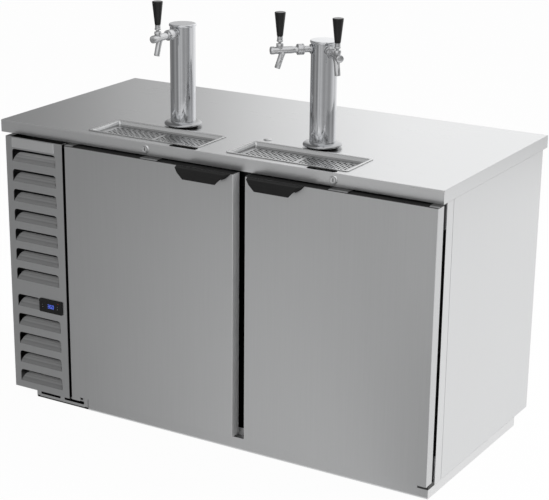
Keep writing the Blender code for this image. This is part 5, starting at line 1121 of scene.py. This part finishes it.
def blade_grid(root, tip, turn, length):
    """A blade about the z axis: radius = root + (tip - root) * s, with an ellipse round each chord."""
    s = np.linspace(0.0, 1.0, 9)[:, None]
    t = np.linspace(0.0, 2 * np.pi, 20, endpoint=False)[None, :]
    radius = root + (tip - root) * s
    chord = 0.55 * (0.62 + 0.55 * s) * tip * np.sqrt(1.0 - 0.55 * np.maximum(s - 0.75, 0.0))
    pitch = np.radians(38.0 - 14.0 * s)
    along_chord = np.cos(t) * chord / 2
    thick = np.sin(t) * 0.0011 * (1.25 - 0.6 * s)
    angle = turn + (along_chord * np.cos(pitch) - thick * np.sin(pitch)) / radius + 0.22 * s
    height = length / 2 + along_chord * np.sin(pitch) * 0.80 + thick * np.cos(pitch)
    return np.stack([radius * np.cos(angle), radius * np.sin(angle), height], -1)


def fan_grids(center, axis, tip, length):
    """A hub with a domed nose, and the blades turned from the z axis onto the fan's axis."""
    up = np.array(AXIS_UP)
    onto_axis = np.stack([np.cross(up, axis), up, axis])
    hub = [(CENTER, 0.0), (HUB - 0.0006, 0.0), (HUB, 0.0006), (HUB, length - NOSE)]
    dome = np.radians([25, 45, 62, 76, 88])
    hub += [(HUB * math.cos(a), length - NOSE + 0.0045 * math.sin(a)) for a in dome]
    turns = [2 * math.pi * k / BLADES for k in range(BLADES)]
    blades = [blade_grid(HUB * 0.8, tip, turn, length) @ onto_axis + center for turn in turns]
    return [lathe(hub, center, axis, 40)] + blades


for name, direction, tip in FANS:
    low, high = [np.array(corner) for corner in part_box(name)]
    axis = np.array(direction)
    pivot = np.array(joints[name + "_spin"]["pos_m"], float)
    start = np.select([axis < 0, axis > 0], [high, low], pivot)
    fan = fan_grids(start, axis, tip, float(abs((high - low) @ axis)))
    build(name + "_bladed", fan, name + "_body", black_plastic, "black_plastic", [name], 40.0)
print(len(FANS), "fans of", BLADES, "blades")

# %% [markdown]
# ## The compressor
# The compressor's shell is two drawn cups welded at a seam, on a plate with rubber feet. Short copper pipes
# bend out of its shoulder.

# %% Compressor
SHELL, SEAM, SHELL_RISE = 0.072, 0.076, 0.165
SHELL_DOME, SHELL_BOWL, PIPE_BEND = 0.036, 0.030, 0.012
FOOT = [(CENTER, 0.0002), (0.0105, 0.0002), (0.0115, 0.0012), (0.0100, 0.0060), (0.0085, 0.0080)]
FOOT += [(0.0100, 0.0120), (0.0085, 0.0148), (CENTER, 0.0149)]


def tube(path, radius, steps=12):
    """A round tube along a path: each ring lies across the direction of the path at its point."""
    path = np.array(path, float)
    ahead = np.gradient(path, axis=0)
    ahead /= np.linalg.norm(ahead, axis=1, keepdims=True)
    off_every_axis = np.array([0.31, 0.17, 0.94])
    first = np.cross(ahead, off_every_axis)
    first /= np.linalg.norm(first, axis=1, keepdims=True)
    second = np.cross(ahead, first)
    t = np.linspace(0.0, 2 * np.pi, steps, endpoint=False)[None, :, None]
    return path[:, None, :] + radius * (np.cos(t) * first[:, None, :] + np.sin(t) * second[:, None, :])


def shell_profile():
    """The bowl, the seam's belt and the dome, as radius and height."""
    t = np.radians(np.linspace(2, 90, 10))
    bowl = [(SHELL * math.sin(a), SHELL_BOWL * (1 - math.cos(a))) for a in t]
    eased = SEAM - 0.001
    belt_shares = ((SHELL, 0.46), (eased, 0.47), (SEAM, 0.475), (SEAM, 0.49), (eased, 0.495), (SHELL, 0.505))
    belt = [(radius, SHELL_RISE * share) for radius, share in belt_shares]
    shoulder = SHELL_RISE - SHELL_DOME
    t = np.radians(np.linspace(0, 88, 12))
    return bowl + belt + [(SHELL * math.cos(a), shoulder + SHELL_DOME * math.sin(a)) for a in t]


low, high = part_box("compressor")
base = middle(low, high) + [0.0, -0.002, 0.0]
base[2] = low.z + 0.018
build("compressor_shell", [lathe(shell_profile(), base)], "cabinet", sprayed, "black_paint", ["compressor"])
levels = [low.z + rise for rise in (0.0150, 0.0156, 0.0172, 0.0178)]
plate = [oval(base, (0.0765, 0.0930), 0.012, z) for z in levels]
build("compressor_plate", [np.stack(plate)], "cabinet", galvanised, "stainless_sheet")
feet = []
for x in (base[0] - 0.061, base[0] + 0.061):
    for y in (base[1] - 0.078, base[1] + 0.078):
        feet.append(lathe(FOOT, (x, y, low.z), steps=24))
build("compressor_feet", feet, "cabinet", rubber, "black_rubber")
a = np.linspace(0.0, np.pi / 2, 8)[:, None]
bend = PIPE_BEND * np.hstack([1 - np.cos(a), 0 * a, np.sin(a)])
pipes = []
for x, y, rise, reach in ((0.030, -0.020, 0.027, 0.030), (-0.022, 0.030, 0.021, 0.024)):
    start = base + [x, y, SHELL_RISE - 0.030]
    top = start + [0, 0, rise]
    end = top + [PIPE_BEND + reach, 0, PIPE_BEND]
    pipes.append(tube(np.vstack([start, top + bend, end]), 0.0032))
build("compressor_pipes", pipes, "cabinet", copper, "fin_aluminium")
print("compressor", round(high.z - low.z, 3), "m tall")

# %% [markdown]
# ## The condenser
# The condenser is a pack of thin fins on copper tubes. The fins are flat plates of a few faces each, and every
# tube bends back beside them. Their near-black is partly black paint and partly painted shade of the machine bay.

# %% Condenser coil
FIN_PITCH, FIN, FIN_START, TUBE_ROWS = 0.0034, 0.0004, 0.010, 10
BEND_START, BEND_REACH, TUBE_EDGE = 0.012, 0.0085, 0.020

low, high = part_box("condenser_coil")
near, far, bottom, top = low.y, high.y - 0.0005, low.z + 0.0005, high.z - 0.0005
outline = np.array([(near, bottom), (far, bottom), (far, top), (near, top)])
sheets = []
for x in np.arange(low.x + FIN_START, high.x - FIN_START + 0.0005, FIN_PITCH):
    sheets.append(np.stack([np.column_stack([np.full(4, x + d), outline]) for d in (0.0, FIN)]))
build("condenser_fins", sheets, "cabinet", dark_fins, "fin_aluminium", ["condenser_coil"])

rows = np.linspace(low.z + TUBE_EDGE, high.z - TUBE_EDGE, TUBE_ROWS)
half_gap = (rows[1] - rows[0]) / 2
t = np.linspace(-np.pi / 2, np.pi / 2, 9)[:, None]
left, right = low.x + BEND_START, high.x - BEND_START
tubes = []
for y in (low.y + 0.011, high.y - 0.011):
    for k, z in enumerate(rows[:-1]):
        on_the_right = k % 2 == 0
        end, way = (right, 1) if on_the_right else (left, -1)
        bend = np.hstack([end + way * BEND_REACH * np.cos(t), 0 * t + y, z + half_gap + half_gap * np.sin(t)])
        hairpin = np.vstack([[left, y, z], bend, [left, y, z + 2 * half_gap]])
        tubes.append(tube(hairpin if on_the_right else bend, 0.0035))
build("condenser_tubes", tubes, "cabinet", copper, "fin_aluminium")
print(len(sheets), "fins on", len(tubes), "bends")

# %% [markdown]
# ## The floor, the lamps and the world
# The photograph has a white ground with hardly a shadow. The floor is a plain pale disc. What the camera
# sees of it is nearly all its own white, with a little of the light that falls on it, so that the shadow
# stays faint. The room is white where it is seen or mirrored, and lights the cooler a little less.

# %% Floor, lamps and world
FLOOR_RADIUS, FLOOR_WHITE = 30.0, 0.965
ROOM_LIGHT = 0.60


def any_ray(make, *kinds):
    """One for rays of these kinds, and zero for all others."""
    first, *others = [make.node("ShaderNodeLightPath", out=f"Is {kind} Ray") for kind in kinds]
    total = sum(others, first)
    return total.math("MINIMUM", total, 1.0)


def floor_disc():
    rim = lathe([(FLOOR_RADIUS, 0.0)], (0.0, 0.0, 0.0), steps=96)[0]
    mesh = bpy.data.meshes.new("floor")
    mesh.from_pydata(rim.tolist(), [], [list(range(len(rim)))])
    material, shader, make = finish("pale_floor", (0.80, 0.80, 0.80), 0.9)
    white = make.node("ShaderNodeEmission", {}, {"Color": (1.0, 1.0, 1.0, 1.0), "Strength": 1.0})
    lit = Wire(make.tree, shader.outputs[0])
    seen = any_ray(make, "Camera", "Glossy") * FLOOR_WHITE
    both = make.node("ShaderNodeMixShader", {}, {0: seen, 1: lit, 2: white})
    both.into(make.tree.nodes["Material Output"].inputs["Surface"])
    mesh.materials.append(material)
    floor = bpy.data.objects.new("floor", mesh)
    scene.collection.objects.link(floor)


def area_lamp(name, place, target, size, power):
    """A square lamp that points at a target and that the metal doesn't mirror."""
    data = bpy.data.lights.new(name, "AREA")
    data.shape, data.size, data.size_y, data.energy = "RECTANGLE", size, size, power
    lamp = bpy.data.objects.new(name, data)
    lamp.location = place
    lamp.rotation_euler = (Vector(target) - Vector(place)).to_track_quat("-Z", "Y").to_euler()
    lamp.visible_glossy = False
    scene.collection.objects.link(lamp)


floor_disc()
area_lamp("key", (2.6, 1.6, 3.2), (0.2, 0.0, 0.7), 2.4, 120.0)
area_lamp("fill", (-2.5, -4.0, 3.0), (0.0, 0.0, 0.5), 3.0, 40.0)

world = bpy.data.worlds.new("white_room")
scene.world = world
world.use_nodes = True
background = world.node_tree.nodes["Background"]
background.inputs["Color"].default_value = (1.0, 1.0, 1.0, 1.0)
shown = any_ray(Maker(world.node_tree), "Camera", "Glossy", "Transmission")
(ROOM_LIGHT + shown * (1.0 - ROOM_LIGHT)).into(background.inputs["Strength"])
print("floor, two lamps and a white world")

# %% [markdown]
# ## Grey cards for the steel
# Steel in an all-white room is a white blank. A studio sets grey cards where the metal mirrors them, and
# each sheet then runs from dark to light. Only mirrored rays see the cards. The shade of a card is a table
# of (place, shade) pairs, looked up along a direction or over the angle round the cooler.

# %% Making a card
def card(name, mesh, shade_of):
    """A mesh that only mirrored rays see, which glows with the shade that a function of its maker gives."""
    material = bpy.data.materials.new(name)
    material.use_nodes = True
    make = Maker(material.node_tree)
    glow = make.node("ShaderNodeEmission", {}, {"Color": shade_of(make), "Strength": 1.0})
    glow.into(material.node_tree.nodes["Material Output"].inputs["Surface"])
    mesh.materials.append(material)
    made = bpy.data.objects.new(name, mesh)
    scene.collection.objects.link(made)
    for ray in ("camera", "diffuse", "transmission", "volume_scatter", "shadow"):
        setattr(made, "visible_" + ray, False)


def table(make, value, stops):
    """A shade looked up in a table of (place, shade) pairs, between its first and its last place."""
    low, high = stops[0][0], stops[-1][0]
    share = make.node("ShaderNodeMapRange", {}, {"Value": value, "From Min": low, "From Max": high})
    pairs = [((where - low) / (high - low), shade) for where, shade in stops]
    return make.node("ShaderNodeValToRGB", {"stops": pairs}, {"Fac": share})


def along(direction, stops):
    """A table over the distance along a direction."""

    def shade_of(make):
        inputs = {0: make.node("ShaderNodeTexCoord", out="Object"), 1: direction}
        distance = make.node("ShaderNodeVectorMath", {"operation": "DOT_PRODUCT"}, inputs, out="Value")
        return table(make, distance, stops)

    return shade_of


def around(stops):
    """A table over the angle round the z axis, in degrees."""

    def shade_of(make):
        place = make.node("ShaderNodeTexCoord", out="Object")
        turn = make.node("ShaderNodeTexGradient", {"gradient_type": "RADIAL"}, {"Vector": place}, out="Fac")
        return table(make, turn * 360.0 - 180.0, stops)

    return shade_of


def flat_card(name, corners, direction, stops):
    mesh = bpy.data.meshes.new(name)
    mesh.from_pydata(corners, [], [(0, 1, 2, 3)])
    card(name, mesh, along(direction, stops))


def round_card(name, radius, turns, rises, shade_of, steps):
    """Part of a round wall: (R cos t cos e, R sin t cos e, z) for angles t, with rises as (e, z) pairs."""
    t = np.radians(np.linspace(*turns, steps))
    rings = []
    for e, z in rises:
        reach = radius * math.cos(e)
        rings.append(np.stack([reach * np.cos(t), reach * np.sin(t), 0 * t + z], 1))
    index = np.arange(len(rings) * steps).reshape(len(rings), steps)
    quads = np.stack([index[:-1, :-1], index[:-1, 1:], index[1:, 1:], index[1:, :-1]], -1).reshape(-1, 4)
    mesh = bpy.data.meshes.new(name)
    mesh.from_pydata(np.concatenate(rings).tolist(), [], quads.tolist())
    card(name, mesh, shade_of)


print("cards can be flat or round")

# %% [markdown]
# Two flat cards serve the sheets: the worktop mirrors the one behind the cooler, and the doors and the lip
# mirror the one on the ground. The second starts right in front of the doors, and its shade runs along the
# slant in which they mirror it.

# %% Flat cards
CARD_START = -0.347
BEHIND = [(-3.2, 0.25), (-2.6, 0.32), (-2.3, 0.42), (-2.05, 0.55), (-1.7, 0.60), (-1.3, 0.89), (-0.7, 1.17)]
BEHIND += [(1.2, 1.24)]
GROUND = [(-0.9, 0.28), (-0.3, 0.35), (0.1, 0.48), (0.35, 0.56), (0.62, 0.60), (0.8, 0.58), (0.97, 0.48)]
GROUND += [(1.4, 0.34)]

wall = [(-7.0, 2.2, -0.5), (1.2, 2.2, -0.5), (1.2, 2.2, 4.0), (-7.0, 2.2, 4.0)]
flat_card("card_behind", wall, (1.0, 0.0, 0.0), BEHIND)
mat = [(-4.5, CARD_START, 0.002), (1.3, CARD_START, 0.002), (-1.2, -5.0, 0.002), (-7.0, -5.0, 0.002)]
flat_card("card_on_ground", mat, (1.0, -0.636, 0.0), GROUND)
print("two flat cards with", len(BEHIND), "and", len(GROUND), "shades")

# %% [markdown]
# The round chrome gets its bands from a low ring of grey strips, some narrow and bright. The foot of each
# column mirrors the worktop first and then the room above the ring, so a high card stands there on the
# right. Part of a dome on the left tones the louvers and the folds that face up.

# %% Round cards
STRIPS = [(-180, 0.24), (-166, 0.18), (-150, 0.18), (-139, 0.28), (-127, 0.34), (-116, 0.20), (-106, 0.28)]
STRIPS += [(-98, 0.58), (-88, 0.44), (-76, 0.54), (-66, 0.42), (-57, 0.33), (-48, 0.34), (-38, 0.40)]
STRIPS += [(-28, 0.38), (-18, 0.32), (-6, 0.34), (4, 0.46), (14, 0.60), (26, 0.78), (38, 0.64), (52, 0.76)]
STRIPS += [(70, 0.88), (95, 1.0), (118, 0.7), (140, 0.20), (150, 0.17), (165, 0.22), (180, 0.24)]
HIGH_STRIPS = [(-40, 0.42), (-24, 0.26), (-10, 0.16), (0, 0.30), (10, 0.52), (20, 0.20), (32, 0.20)]
HIGH_STRIPS += [(42, 0.60), (52, 0.8)]
DOME_SHADES = [(-6.0, 0.62), (-4.2, 0.60), (-2.5, 0.30), (1.0, 0.22), (4.0, 0.34), (6.0, 0.44)]
DOME_RADIUS = 6.0

round_card("ring_of_strips", 2.2, (-180.0, 180.0), [(0.0, 0.44), (0.0, 1.00)], around(STRIPS), 145)
round_card("high_card_right", 2.25, (-38.0, 50.0), [(0.0, 1.0), (0.0, 1.75)], around(HIGH_STRIPS), 60)
rises = [(e, DOME_RADIUS * math.sin(e)) for e in np.radians(np.linspace(0.0, 78.0, 14))]
front_to_back = along((0.0, 1.0, 0.0), DOME_SHADES)
round_card("dome_on_the_left", DOME_RADIUS, (-262.0, -100.0), rises, front_to_back, 72)
print("a ring, a high card and a dome")
